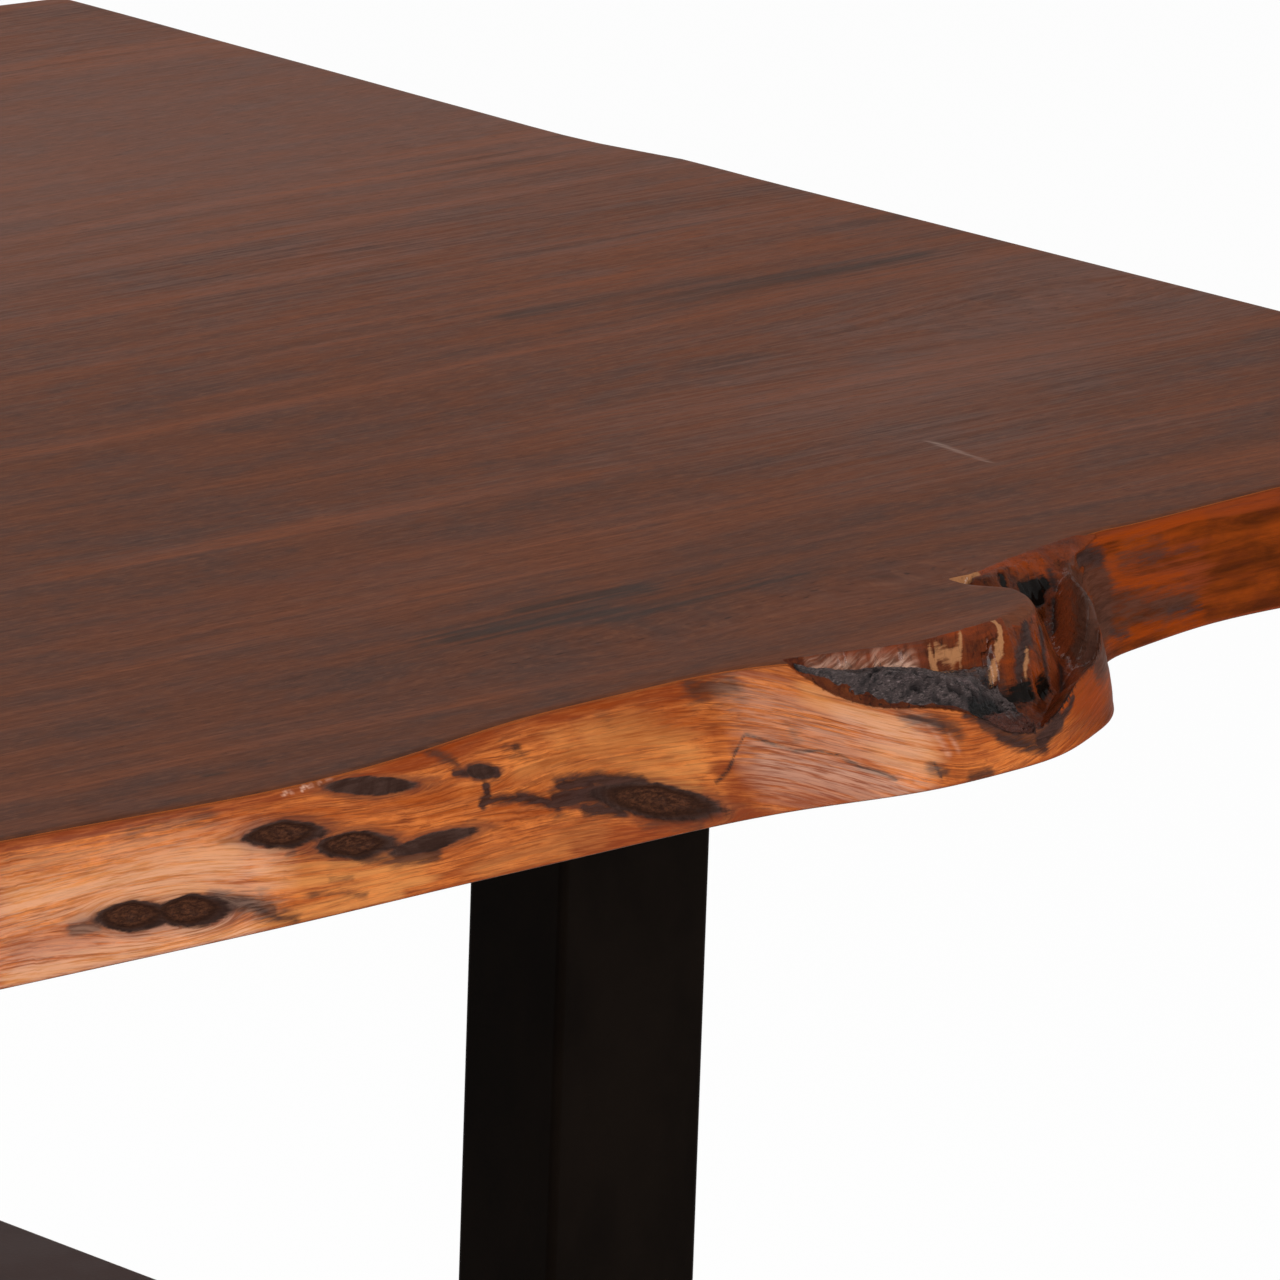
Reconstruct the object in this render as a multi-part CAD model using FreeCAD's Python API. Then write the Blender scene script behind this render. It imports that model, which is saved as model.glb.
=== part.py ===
import FreeCAD, Part
import math
import os

from FreeCAD import Vector

# Live edge dining table: one slab of wood on two welded steel H-frames.
# X runs along the table, Y across it and Z up. The origin is on the floor under the
# middle of the table. The front live edge, with the burl, is at -Y. Millimetres.

# Slab
TABLE_HEIGHT = 762.0
SLAB_LENGTH = 2046.0            # over the furthest corners of the two cut ends
SLAB_WIDTH = 1100.0             # over the widest places of the two live edges
SLAB_THICKNESS = 45.0
LOWER_BAND = 2.0                # upright band that follows the lower edge
EDGE_BULGE = 0.35               # share of the edge's flare that is left at half thickness

# Burl pocket in the front edge
POCKET_BED = 3.0                # depth of the bed for bark and resin below the pocket's floor
BARK_THICKNESS = 8.0
RESIN_THICKNESS = 5.0

# Steel H-frames
FRAME_SPACING = 1040.0          # between the middles of the two frames
FRAME_WIDTH = 770.0             # over the outer faces of a frame's uprights
TUBE_X = 76.0
TUBE_Y = 51.0
TUBE_WALL = 3.0
TUBE_CORNER = 3.0               # outer corner radius of the tube
CROSSBAR_TOP = 400.0            # height of the crossbar's top face above the floor
CROSSBAR_DEPTH = 51.0
WELD_LEG = 5.0

# Mounting plates and their fasteners
PLATE_THICKNESS = 6.0
PLATE_X = 150.0
PLATE_OVERHANG = 15.0           # how far a plate runs past the uprights' outer faces
SLOT_WIDTH = 10.0
SLOT_LENGTH = 22.0
BOLT_ROW_SPACING = 110.0        # between the two rows of bolts on a plate
BOLT_PITCH = 290.0              # between neighbouring bolts of a row
BOLTS_PER_ROW = 3
BOLT_DIAMETER = 8.0
BOLT_HEAD_FLATS = 13.0
BOLT_HEAD_HEIGHT = 5.3
BOLT_ENGAGEMENT = 16.0          # length of bolt inside its insert
BOLT_CLEARANCE = 0.1            # radial gap between a bolt and its insert
WASHER_DIAMETER = 24.0
WASHER_THICKNESS = 2.5
WASHER_HOLE_GAP = 0.2           # radial gap between a bolt and its washer
INSERT_DIAMETER = 12.0
INSERT_LENGTH = 20.0
INSERT_HOLE_SPARE = 2.0         # depth of the blind hole past the end of the insert

# Levelling feet
FOOT_HEIGHT = 15.0              # from the floor to the bottom of the uprights
FOOT_TRAVEL = 12.0              # how far a foot screws out
FOOT_DIAMETER = 40.0
SOLE_THICKNESS = 5.0
SOLE_SHOW = 1.5                 # how far the sole stands out under the steel cup
SOLE_GAP = 0.1                  # radial gap between the sole and the cup
CUP_THICKNESS = 1.5
CUP_BOSS_DIAMETER = 20.0
CUP_BOSS_HEIGHT = 4.0
STUD_DIAMETER = 10.0
STUD_SPARE = 7.0                # stud left above its nut when the foot is screwed out
STUD_NECK_DIAMETER = 8.0
STUD_RIVET_DIAMETER = 13.0
STUD_RIVET_THICKNESS = 1.6
STUD_COLLAR_FLATS = 14.0
STUD_COLLAR_GAP = 0.3           # between the turning collar and the cup and tube
RUNNING_GAP = 0.05              # radial gap of the stud in its nut and in the cup
END_PLATE_THICKNESS = 5.0
END_PLATE_HOLE_GAP = 0.5
WELD_NUT_FLATS = 17.0
WELD_NUT_HEIGHT = 8.0

# Shape of the natural edges. Each entry is a station along the half length (-1 at the
# left end, +1 at the right end) with how far the top and the lower edge lie inside the
# slab's half width there.
FRONT_EDGE = (
    (-1.03, 72, 53), (-0.91, 64, 44), (-0.80, 47, 29), (-0.68, 39, 18), (-0.58, 50, 23),
    (-0.47, 63, 38), (-0.35, 69, 46), (-0.23, 64, 42), (-0.12, 53, 33), (0.00, 43, 24),
    (0.128, 36, 18.5), (0.212, 29, 16), (0.283, 35.5, 16), (0.332, 44, 15.5), (0.386, 46.5, 15),
    (0.440, 44.5, 10.5), (0.489, 28, 1), (0.528, 17, 0.5), (0.562, 17, 5), (0.591, 29, 17),
    (0.618, 50, 34.5), (0.637, 76, 57), (0.659, 98, 79), (0.690, 103, 90), (0.733, 105, 97),
    (0.81, 109, 94), (0.90, 104, 88), (1.03, 94, 76),
)
BACK_EDGE = (
    (-1.03, 52, 34), (-0.93, 47, 27), (-0.83, 38, 16), (-0.71, 28, 6), (-0.60, 31, 9),
    (-0.47, 43, 23), (-0.34, 57, 39), (-0.22, 61, 42), (-0.11, 52, 31), (0.00, 35, 14),
    (0.12, 24, 5), (0.24, 29, 10), (0.37, 41, 21), (0.49, 47, 26), (0.61, 41, 19),
    (0.72, 26, 7), (0.83, 17, 0), (0.92, 21, 3), (1.03, 31, 12),
)
# Saw line of the right end: share of the half width, and how far the cut lies inside the
# furthest corner. The left end is the same line turned half round.
END_CUT = (
    (1.2, 0), (1.1, 0), (1.0, 0), (0.93, 0.5), (0.83, 2.5), (0.73, 5), (0.60, 8), (0.485, 11),
    (0.38, 13.5), (0.29, 14.5), (0.24, 11), (0.205, 7), (0.15, 6.5), (0.0, 7), (-0.2, 7),
    (-0.4, 7), (-0.6, 7.5), (-0.8, 8), (-1.0, 8), (-1.2, 8),
)
# Flat tongue of the top face beside the burl pocket, as station and inset.
TONGUE = (
    (0.458, 44), (0.483, 36), (0.507, 29), (0.531, 29), (0.553, 31), (0.567, 35),
    (0.580, 43), (0.588, 53), (0.591, 62), (0.587, 70), (0.583, 77), (0.582, 86),
)
# Top edge from the tip of the notch along the neck of the lobe.
NECK = ((0.598, 87), (0.618, 93), (0.641, 98), (0.656, 101), (0.672, 102.5))
# Outer border of the bed that bark and resin fill.
BED_BORDER = (
    (0.650, 92), (0.634, 74), (0.618, 58), (0.598, 42), (0.573, 25), (0.545, 15),
    (0.531, 18), (0.508, 21), (0.486, 30),
)
BARK_END = 0.545                # station where the bark stops and the resin starts
# The pocket's floor is two slanted planes, each through three points given as station,
# inset and depth under the top face.
BARK_FLOOR = ((0.463, 44, 4), (0.508, 13, 19), (0.531, 29, 29))
BOWL_FLOOR = ((0.547, 7, 36), (0.635, 70, 29), (0.598, 87, 10))

# Derived levels and places
SLAB_BOTTOM = TABLE_HEIGHT - SLAB_THICKNESS
SLAB_MIDDLE = TABLE_HEIGHT - SLAB_THICKNESS / 2
HALF_LENGTH = SLAB_LENGTH / 2
HALF_WIDTH = SLAB_WIDTH / 2
PLATE_BOTTOM = SLAB_BOTTOM - PLATE_THICKNESS
UPRIGHT_Y = (FRAME_WIDTH - TUBE_Y) / 2
INNER_FACE_Y = FRAME_WIDTH / 2 - TUBE_Y
END_PLATE_TOP = FOOT_HEIGHT + END_PLATE_THICKNESS
CUP_TOP = SOLE_THICKNESS + CUP_BOSS_HEIGHT
UP = Vector(0, 0, 1)
TALL = 3 * SLAB_THICKNESS       # height of cutters that have to clear the slab


def front(station, inset, z=0.0):
    return Vector(station * HALF_LENGTH, inset - HALF_WIDTH, z)


def back(station, inset, z=0.0):
    return Vector(station * HALF_LENGTH, HALF_WIDTH - inset, z)


def curve(points):
    spline = Part.BSplineCurve()
    spline.interpolate(points)
    return spline.toShape()


def line(start, end):
    return Part.LineSegment(start, end).toShape()


def group(solids):
    return Part.makeCompound(solids)


def prism(points, bottom, height):
    """Upright prism over a closed polygon of plan points."""
    ring = [Vector(p.x, p.y, bottom) for p in points]
    return Part.Face(Part.makePolygon(ring + ring[:1])).extrude(UP * height)


def save(name, shape):
    shape.exportStep(os.path.join("parts", name + ".step"))


# ---------------------------------------------------------------- slab

def edge_inset(top, low, level):
    """Inset of the live edge at one of the slab's section levels."""
    return {"top": top, "middle": low + EDGE_BULGE * (top - low), "low": low}[level]


def slab_section(level, z):
    front_points = [front(s, edge_inset(top, low, level), z) for s, top, low in FRONT_EDGE]
    back_points = [back(s, edge_inset(top, low, level), z) for s, top, low in BACK_EDGE]
    back_points.reverse()
    return Part.Wire([
        curve(front_points),
        line(front_points[-1], back_points[0]),
        curve(back_points),
        line(back_points[-1], front_points[0]),
    ])


def end_block():
    """Everything between the two saw lines."""
    right = [Vector(HALF_LENGTH - inset, share * HALF_WIDTH, 0) for share, inset in END_CUT]
    left = [Vector(-p.x, -p.y, 0) for p in right]
    outline = Part.Wire([
        curve(right), line(right[-1], left[0]), curve(left), line(left[-1], right[0]),
    ])
    block = Part.Face(outline).extrude(UP * TALL)
    block.translate(UP * (SLAB_MIDDLE - TALL / 2))
    return block


def above_floor(floor, lowered, thickness):
    """Slanted layer of a given thickness over one of the pocket's floor planes."""
    first, second, third = [front(s, inset, TABLE_HEIGHT - depth) for s, inset, depth in floor]
    along = (second - first).normalize()
    normal = along.cross(third - first).normalize()
    if normal.z < 0:
        normal = normal * -1
    across = normal.cross(along)
    reach = HALF_WIDTH
    corners = [first - normal * lowered + along * a + across * b
               for a, b in ((-reach, -reach), (reach, -reach), (reach, reach), (-reach, reach))]
    return Part.Face(Part.makePolygon(corners + corners[:1])).extrude(normal * thickness)


def burl_side(bark_side):
    """Upright block over the bark's or the resin's share of the pocket."""
    meeting = BARK_END * HALF_LENGTH
    low_x, high_x = (0.0, meeting) if bark_side else (meeting, HALF_LENGTH)
    corner = Vector(low_x, -SLAB_WIDTH, SLAB_BOTTOM)
    return Part.makeBox(high_x - low_x, SLAB_WIDTH, TALL, corner)


def pocket_plan():
    """Plan of the whole pocket, from the tongue and the neck outwards past the slab."""
    inner = [front(s, inset) for s, inset in TONGUE + NECK]
    outer = [front(NECK[-1][0], -SLAB_THICKNESS), front(TONGUE[0][0], -SLAB_THICKNESS)]
    return inner + outer


def bed_plan():
    """Plan of the lowered bed: along the tongue and neck, then back along its border."""
    inner = [front(s, inset) for s, inset in TONGUE[1:] + NECK[:-2]]
    border = [front(s, inset) for s, inset in BED_BORDER]
    return inner + border


def over_floors(plan, lowered, bark_thickness, resin_thickness):
    """The two solids that stand on the floor planes within a plan."""
    column = prism(plan, SLAB_BOTTOM, TALL)
    bark = above_floor(BARK_FLOOR, lowered, bark_thickness).common(burl_side(True))
    resin = above_floor(BOWL_FLOOR, lowered, resin_thickness).common(burl_side(False))
    return column.common(bark), column.common(resin)


def insert_holes():
    depth = INSERT_LENGTH + INSERT_HOLE_SPARE
    return [Part.makeCylinder(INSERT_DIAMETER / 2, depth, Vector(x, y, SLAB_BOTTOM), UP)
            for side in (1, -1) for x, y in bolt_places(side)]


def tabletop_slab():
    sections = [slab_section("low", SLAB_BOTTOM),
                slab_section("low", SLAB_BOTTOM + LOWER_BAND),
                slab_section("middle", SLAB_MIDDLE),
                slab_section("top", TABLE_HEIGHT)]
    slab = Part.makeLoft(sections, True, True).common(end_block())
    for plan, lowered in ((pocket_plan(), 0.0), (bed_plan(), POCKET_BED)):
        for cutter in over_floors(plan, lowered, TALL, TALL):
            slab = slab.cut(cutter)
    return slab.cut(group(insert_holes()))


# -------------------------------------------------------------- frames

def tube(size_x, size_y, length, corner_radius):
    """Upright rectangular tube, centred on the Z axis, standing on z = 0."""
    outer = Part.makeBox(size_x, size_y, length, Vector(-size_x / 2, -size_y / 2, 0))
    corners = [e for e in outer.Edges if abs(e.Length - length) < 1e-6
               and abs(e.tangentAt(e.FirstParameter).z) > 0.5]
    outer = outer.makeFillet(corner_radius, corners)
    inner_x, inner_y = size_x - 2 * TUBE_WALL, size_y - 2 * TUBE_WALL
    inner = Part.makeBox(inner_x, inner_y, length, Vector(-inner_x / 2, -inner_y / 2, 0))
    return outer.cut(inner)


def upright(frame_x, y_side):
    post = tube(TUBE_X, TUBE_Y, PLATE_BOTTOM - FOOT_HEIGHT, TUBE_CORNER)
    post.translate(Vector(frame_x, y_side * UPRIGHT_Y, FOOT_HEIGHT))
    return post


def crossbar(frame_x):
    length = 2 * INNER_FACE_Y
    bar = tube(TUBE_X, CROSSBAR_DEPTH, length, TUBE_CORNER)
    bar.rotate(Vector(0, 0, 0), Vector(1, 0, 0), -90)
    bar.translate(Vector(frame_x, -length / 2, CROSSBAR_TOP - CROSSBAR_DEPTH / 2))
    return bar


def bolt_places(side):
    """Plan places of one plate's bolts: rows beside the frame's middle plane."""
    frame_x = side * FRAME_SPACING / 2
    middle = (BOLTS_PER_ROW - 1) / 2
    return [(frame_x + row * BOLT_ROW_SPACING / 2, (i - middle) * BOLT_PITCH)
            for row in (-1, 1) for i in range(BOLTS_PER_ROW)]


def slot(x, y, bottom, height):
    """Cutter for a slot that is long across the grain, in Y."""
    radius = SLOT_WIDTH / 2
    run = SLOT_LENGTH - SLOT_WIDTH
    middle = Part.makeBox(SLOT_WIDTH, run, height, Vector(x - radius, y - run / 2, bottom))
    ends = [Part.makeCylinder(radius, height, Vector(x, y + sign * run / 2, bottom), UP)
            for sign in (-1, 1)]
    return middle.fuse(ends).removeSplitter()


def mounting_plate(side):
    width = FRAME_WIDTH + 2 * PLATE_OVERHANG
    corner = Vector(side * FRAME_SPACING / 2 - PLATE_X / 2, -width / 2, PLATE_BOTTOM)
    plate = Part.makeBox(PLATE_X, width, PLATE_THICKNESS, corner)
    slots = [slot(x, y, PLATE_BOTTOM, PLATE_THICKNESS) for x, y in bolt_places(side)]
    return plate.cut(group(slots))


def bead(start, length_vector, first_leg, second_leg):
    """Fillet weld: a triangle with two legs along the joined faces, run along the joint."""
    triangle = Part.makePolygon([start, start + first_leg, start + second_leg, start])
    return Part.Face(triangle).extrude(length_vector)


def upright_beads(frame_x, y_side):
    """Four beads between the top of an upright and the plate over it."""
    beads = []
    flat_x = TUBE_X / 2 - TUBE_CORNER
    flat_y = TUBE_Y / 2 - TUBE_CORNER
    centre = Vector(frame_x, y_side * UPRIGHT_Y, PLATE_BOTTOM)
    down = UP * -WELD_LEG
    for sign in (-1, 1):
        x_face = centre + Vector(sign * TUBE_X / 2, -flat_y, 0)
        beads.append(bead(x_face, Vector(0, 2 * flat_y, 0), Vector(sign * WELD_LEG, 0, 0), down))
        y_face = centre + Vector(-flat_x, sign * TUBE_Y / 2, 0)
        beads.append(bead(y_face, Vector(2 * flat_x, 0, 0), Vector(0, sign * WELD_LEG, 0), down))
    return beads


def crossbar_beads(frame_x, y_side):
    """Beads over and under the crossbar where it meets an upright's inner face."""
    flat_x = TUBE_X / 2 - TUBE_CORNER
    inwards = Vector(0, -y_side * WELD_LEG, 0)
    beads = []
    for z, outwards in ((CROSSBAR_TOP, 1), (CROSSBAR_TOP - CROSSBAR_DEPTH, -1)):
        start = Vector(frame_x - flat_x, y_side * INNER_FACE_Y, z)
        beads.append(bead(start, Vector(2 * flat_x, 0, 0), inwards, UP * outwards * WELD_LEG))
    return beads


def frame_welds(side):
    frame_x = side * FRAME_SPACING / 2
    beads = []
    for y_side in (-1, 1):
        beads += upright_beads(frame_x, y_side) + crossbar_beads(frame_x, y_side)
    return group(beads)


# ----------------------------------------------------------- fasteners

def hexagon(flats, height, base):
    """Hexagonal prism standing on a base point."""
    radius = flats / math.sqrt(3)
    ring = [base + Vector(radius * math.cos(a), radius * math.sin(a), 0)
            for a in (math.radians(60 * i) for i in range(6))]
    return Part.Face(Part.makePolygon(ring + ring[:1])).extrude(UP * height)


def ring_solid(outer_radius, inner_radius, height, base):
    outer = Part.makeCylinder(outer_radius, height, base, UP)
    return outer.cut(Part.makeCylinder(inner_radius, height, base, UP))


def plate_bolt(x, y):
    """Hexagon bolt, head down, through washer and plate into its insert."""
    washer_bottom = PLATE_BOTTOM - WASHER_THICKNESS
    head = hexagon(BOLT_HEAD_FLATS, BOLT_HEAD_HEIGHT, Vector(x, y, washer_bottom - BOLT_HEAD_HEIGHT))
    shank_length = SLAB_BOTTOM + BOLT_ENGAGEMENT - washer_bottom
    shank = Part.makeCylinder(BOLT_DIAMETER / 2, shank_length, Vector(x, y, washer_bottom), UP)
    return head.fuse(shank)


def plate_washer(x, y):
    base = Vector(x, y, PLATE_BOTTOM - WASHER_THICKNESS)
    hole_radius = BOLT_DIAMETER / 2 + WASHER_HOLE_GAP
    return ring_solid(WASHER_DIAMETER / 2, hole_radius, WASHER_THICKNESS, base)


def threaded_insert(x, y):
    bore_radius = BOLT_DIAMETER / 2 + BOLT_CLEARANCE
    return ring_solid(INSERT_DIAMETER / 2, bore_radius, INSERT_LENGTH, Vector(x, y, SLAB_BOTTOM))


def fasteners(side, piece):
    return group([piece(x, y) for x, y in bolt_places(side)])


# ------------------------------------------------------ levelling feet

def end_plate(x, y):
    """Plate welded inside the bottom of an upright."""
    size_x, size_y = TUBE_X - 2 * TUBE_WALL, TUBE_Y - 2 * TUBE_WALL
    corner = Vector(x - size_x / 2, y - size_y / 2, FOOT_HEIGHT)
    plate = Part.makeBox(size_x, size_y, END_PLATE_THICKNESS, corner)
    hole_radius = STUD_DIAMETER / 2 + END_PLATE_HOLE_GAP
    return plate.cut(Part.makeCylinder(hole_radius, END_PLATE_THICKNESS, Vector(x, y, FOOT_HEIGHT), UP))


def weld_nut(x, y):
    base = Vector(x, y, END_PLATE_TOP)
    bore = Part.makeCylinder(STUD_DIAMETER / 2 + RUNNING_GAP, WELD_NUT_HEIGHT, base, UP)
    return hexagon(WELD_NUT_FLATS, WELD_NUT_HEIGHT, base).cut(bore)


def revolved(profile, x, y):
    """Solid of revolution from (radius, height) pairs around a foot's axis."""
    points = [Vector(x + r, y, z) for r, z in profile]
    face = Part.Face(Part.makePolygon(points + points[:1]))
    return face.revolve(Vector(x, y, 0), UP, 360)


def foot_sole(x, y):
    """Plastic sole, with a recess that leaves room for the stud's rivet head."""
    radius = FOOT_DIAMETER / 2 - CUP_THICKNESS - SOLE_GAP
    recess = STUD_RIVET_DIAMETER / 2 + 2 * STUD_COLLAR_GAP
    recess_floor = SOLE_THICKNESS - STUD_RIVET_THICKNESS - STUD_COLLAR_GAP
    return revolved([(0, 0), (radius - SOLE_SHOW, 0), (radius, SOLE_SHOW), (radius, SOLE_THICKNESS),
                     (recess, SOLE_THICKNESS), (recess, recess_floor), (0, recess_floor)], x, y)


def foot_cup(x, y):
    """Pressed steel cup over the sole, with a boss that the stud's neck turns in."""
    outer, bore = FOOT_DIAMETER / 2, STUD_NECK_DIAMETER / 2 + RUNNING_GAP
    inner = outer - CUP_THICKNESS
    return revolved([(inner, SOLE_SHOW), (outer, SOLE_SHOW), (outer, SOLE_THICKNESS + SOLE_SHOW),
                     (CUP_BOSS_DIAMETER / 2, CUP_TOP), (bore, CUP_TOP), (bore, SOLE_THICKNESS),
                     (inner, SOLE_THICKNESS)], x, y)


def foot_stud(x, y):
    """Levelling stud: rivet head in the cup, spanner collar and threaded shank."""
    rivet_bottom = SOLE_THICKNESS - STUD_RIVET_THICKNESS
    neck_top = CUP_TOP + STUD_COLLAR_GAP
    collar_top = FOOT_HEIGHT - STUD_COLLAR_GAP
    tip = END_PLATE_TOP + WELD_NUT_HEIGHT + FOOT_TRAVEL + STUD_SPARE
    rivet_radius, shank_radius = STUD_RIVET_DIAMETER / 2, STUD_DIAMETER / 2
    neck_radius, chamfer = STUD_NECK_DIAMETER / 2, STUD_DIAMETER / 8
    rivet_top = SOLE_THICKNESS - STUD_COLLAR_GAP / 3
    turned_part = revolved([
        (0, rivet_bottom), (rivet_radius, rivet_bottom), (rivet_radius, rivet_top),
        (neck_radius, rivet_top), (neck_radius, neck_top), (shank_radius, collar_top),
        (shank_radius, tip - chamfer), (shank_radius - chamfer, tip), (0, tip)], x, y)
    collar = hexagon(STUD_COLLAR_FLATS, collar_top - neck_top, Vector(x, y, neck_top))
    return turned_part.fuse(collar).removeSplitter()


# ------------------------------------------------------------- output

os.makedirs("parts", exist_ok=True)

save("tabletop_slab", tabletop_slab())
bark, resin = over_floors(bed_plan(), POCKET_BED, BARK_THICKNESS, RESIN_THICKNESS)
save("burl_bark", bark)
save("burl_resin", resin)

for frame_name, side in (("left", -1), ("right", 1)):
    frame_x = side * FRAME_SPACING / 2
    save(frame_name + "_crossbar", crossbar(frame_x))
    save(frame_name + "_mounting_plate", mounting_plate(side))
    save(frame_name + "_frame_welds", frame_welds(side))
    save(frame_name + "_plate_bolts", fasteners(side, plate_bolt))
    save(frame_name + "_plate_washers", fasteners(side, plate_washer))
    save(frame_name + "_threaded_inserts", fasteners(side, threaded_insert))
    for leg_name, y_side in (("front", -1), ("back", 1)):
        leg = frame_name + "_" + leg_name
        x, y = frame_x, y_side * UPRIGHT_Y
        save(leg + "_upright", upright(frame_x, y_side))
        save(leg + "_end_plate", end_plate(x, y))
        save(leg + "_weld_nut", weld_nut(x, y))
        save(leg + "_foot_stud", foot_stud(x, y))
        save(leg + "_foot_cup", foot_cup(x, y))
        save(leg + "_foot_sole", foot_sole(x, y))
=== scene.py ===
import itertools
import math

import bmesh
import bpy
import numpy as np
from mathutils import Matrix, Vector

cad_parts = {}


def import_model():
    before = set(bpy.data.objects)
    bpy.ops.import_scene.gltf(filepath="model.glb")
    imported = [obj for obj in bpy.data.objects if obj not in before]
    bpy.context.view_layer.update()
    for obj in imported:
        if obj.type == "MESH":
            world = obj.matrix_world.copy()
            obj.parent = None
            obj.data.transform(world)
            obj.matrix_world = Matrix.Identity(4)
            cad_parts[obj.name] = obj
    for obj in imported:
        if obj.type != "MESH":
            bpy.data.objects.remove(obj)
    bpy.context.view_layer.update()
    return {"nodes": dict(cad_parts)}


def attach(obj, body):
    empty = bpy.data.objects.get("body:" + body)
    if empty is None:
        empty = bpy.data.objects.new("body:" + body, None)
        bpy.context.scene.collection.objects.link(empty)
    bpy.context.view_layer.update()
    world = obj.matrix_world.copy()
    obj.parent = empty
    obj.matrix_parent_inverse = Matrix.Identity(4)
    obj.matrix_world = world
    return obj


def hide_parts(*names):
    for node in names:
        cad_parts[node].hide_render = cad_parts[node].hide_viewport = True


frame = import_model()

NODES = frame["nodes"]
MM = 0.001
WOOD_SHARP, METAL_SHARP = 50, 34    # degrees from which an edge stays sharp

# ------------------------------------------------------------------ slab shape, in mm

HALF_LENGTH, HALF_WIDTH = 1023.0, 550.0
SLAB_TOP, SLAB_BOTTOM = 762.0, 717.0

# Station along the half length, inset of the top edge, inset of the lower edge. What the photo
# shows was picked on it by eye and cast through the camera by a separate script: the front edge
# from 0.08 to 0.74, the right end, the tongue and the neck.
FRONT_EDGE = np.array((
    (-1.03, 72, 53), (-0.91, 64, 44), (-0.80, 47, 29), (-0.68, 39, 18), (-0.58, 50, 23),
    (-0.47, 63, 38), (-0.35, 69, 46), (-0.23, 64, 42), (-0.12, 53, 33), (0.00, 43, 24),
    (0.128, 36, 18.5), (0.212, 29, 16), (0.283, 35.5, 16), (0.332, 44, 15.5), (0.386, 46.5, 15),
    (0.440, 44.5, 10.5), (0.489, 28, 1), (0.528, 17, 0.5), (0.562, 17, 5), (0.591, 29, 17),
    (0.618, 50, 34.5), (0.637, 76, 57), (0.659, 98, 79), (0.690, 103, 90), (0.733, 105, 97),
    (0.81, 109, 94), (0.90, 104, 88), (1.03, 94, 76)))
BACK_EDGE = np.array((
    (-1.03, 52, 34), (-0.93, 47, 27), (-0.83, 38, 16), (-0.71, 28, 6), (-0.60, 31, 9),
    (-0.47, 43, 23), (-0.34, 57, 39), (-0.22, 61, 42), (-0.11, 52, 31), (0.00, 35, 14),
    (0.12, 24, 5), (0.24, 29, 10), (0.37, 41, 21), (0.49, 47, 26), (0.61, 41, 19),
    (0.72, 26, 7), (0.83, 17, 0), (0.92, 21, 3), (1.03, 31, 12)))
# share of the half width, inset of the right end's saw line
END_CUT = np.array((
    (-1.2, 8), (-1.0, 8), (-0.8, 8), (-0.6, 7.5), (-0.4, 7), (-0.2, 7), (0.0, 7), (0.15, 6.5),
    (0.205, 7), (0.24, 11), (0.29, 14.5), (0.38, 13.5), (0.485, 11), (0.60, 8), (0.73, 5),
    (0.83, 2.5), (0.93, 0.5), (1.0, 0), (1.1, 0), (1.2, 0)))
TONGUE = (
    (0.456, 43.5), (0.483, 37), (0.507, 31.5), (0.531, 32.5), (0.553, 35.5), (0.567, 39),
    (0.580, 45), (0.588, 53), (0.591, 62), (0.587, 70), (0.583, 77), (0.582, 86))
NECK = ((0.598, 87), (0.618, 93), (0.641, 98), (0.656, 101), (0.672, 102.5))


def spline(xs, ys):
    """Natural cubic spline through the given points."""
    count, h = len(xs), np.diff(xs)
    rows, right = np.eye(count), np.zeros(count)
    for i in range(1, count - 1):
        rows[i, i - 1:i + 2] = h[i - 1], 2 * (h[i - 1] + h[i]), h[i]
        right[i] = 6 * ((ys[i + 1] - ys[i]) / h[i] - (ys[i] - ys[i - 1]) / h[i - 1])
    bend = np.linalg.solve(rows, right)

    def at(x):
        i = np.clip(np.searchsorted(xs, x) - 1, 0, count - 2)
        low, high = xs[i + 1] - x, x - xs[i]
        return ((bend[i] * low ** 3 + bend[i + 1] * high ** 3) / (6 * h[i])
                + (ys[i] / h[i] - bend[i] * h[i] / 6) * low
                + (ys[i + 1] / h[i] - bend[i + 1] * h[i] / 6) * high)
    return at


front_top = spline(FRONT_EDGE[:, 0] * HALF_LENGTH, FRONT_EDGE[:, 1])
front_low = spline(FRONT_EDGE[:, 0] * HALF_LENGTH, FRONT_EDGE[:, 2])
back_top = spline(BACK_EDGE[:, 0] * HALF_LENGTH, BACK_EDGE[:, 1])
back_low = spline(BACK_EDGE[:, 0] * HALF_LENGTH, BACK_EDGE[:, 2])
end_cut = spline(END_CUT[:, 0], END_CUT[:, 1])


def smooth(low, high, value):
    t = np.clip((value - low) / (high - low), 0, 1)
    return t * t * (3 - 2 * t)


# gradient noise over arrays of points
DRAWS = np.random.RandomState(7)
SHUFFLE = np.concatenate([DRAWS.permutation(256)] * 3)
GRADIENTS = DRAWS.normal(size=(256, 3))
GRADIENTS /= np.linalg.norm(GRADIENTS, axis=1)[:, None]
NOISE_GAIN = 1.6
OCTAVES = 3


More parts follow.
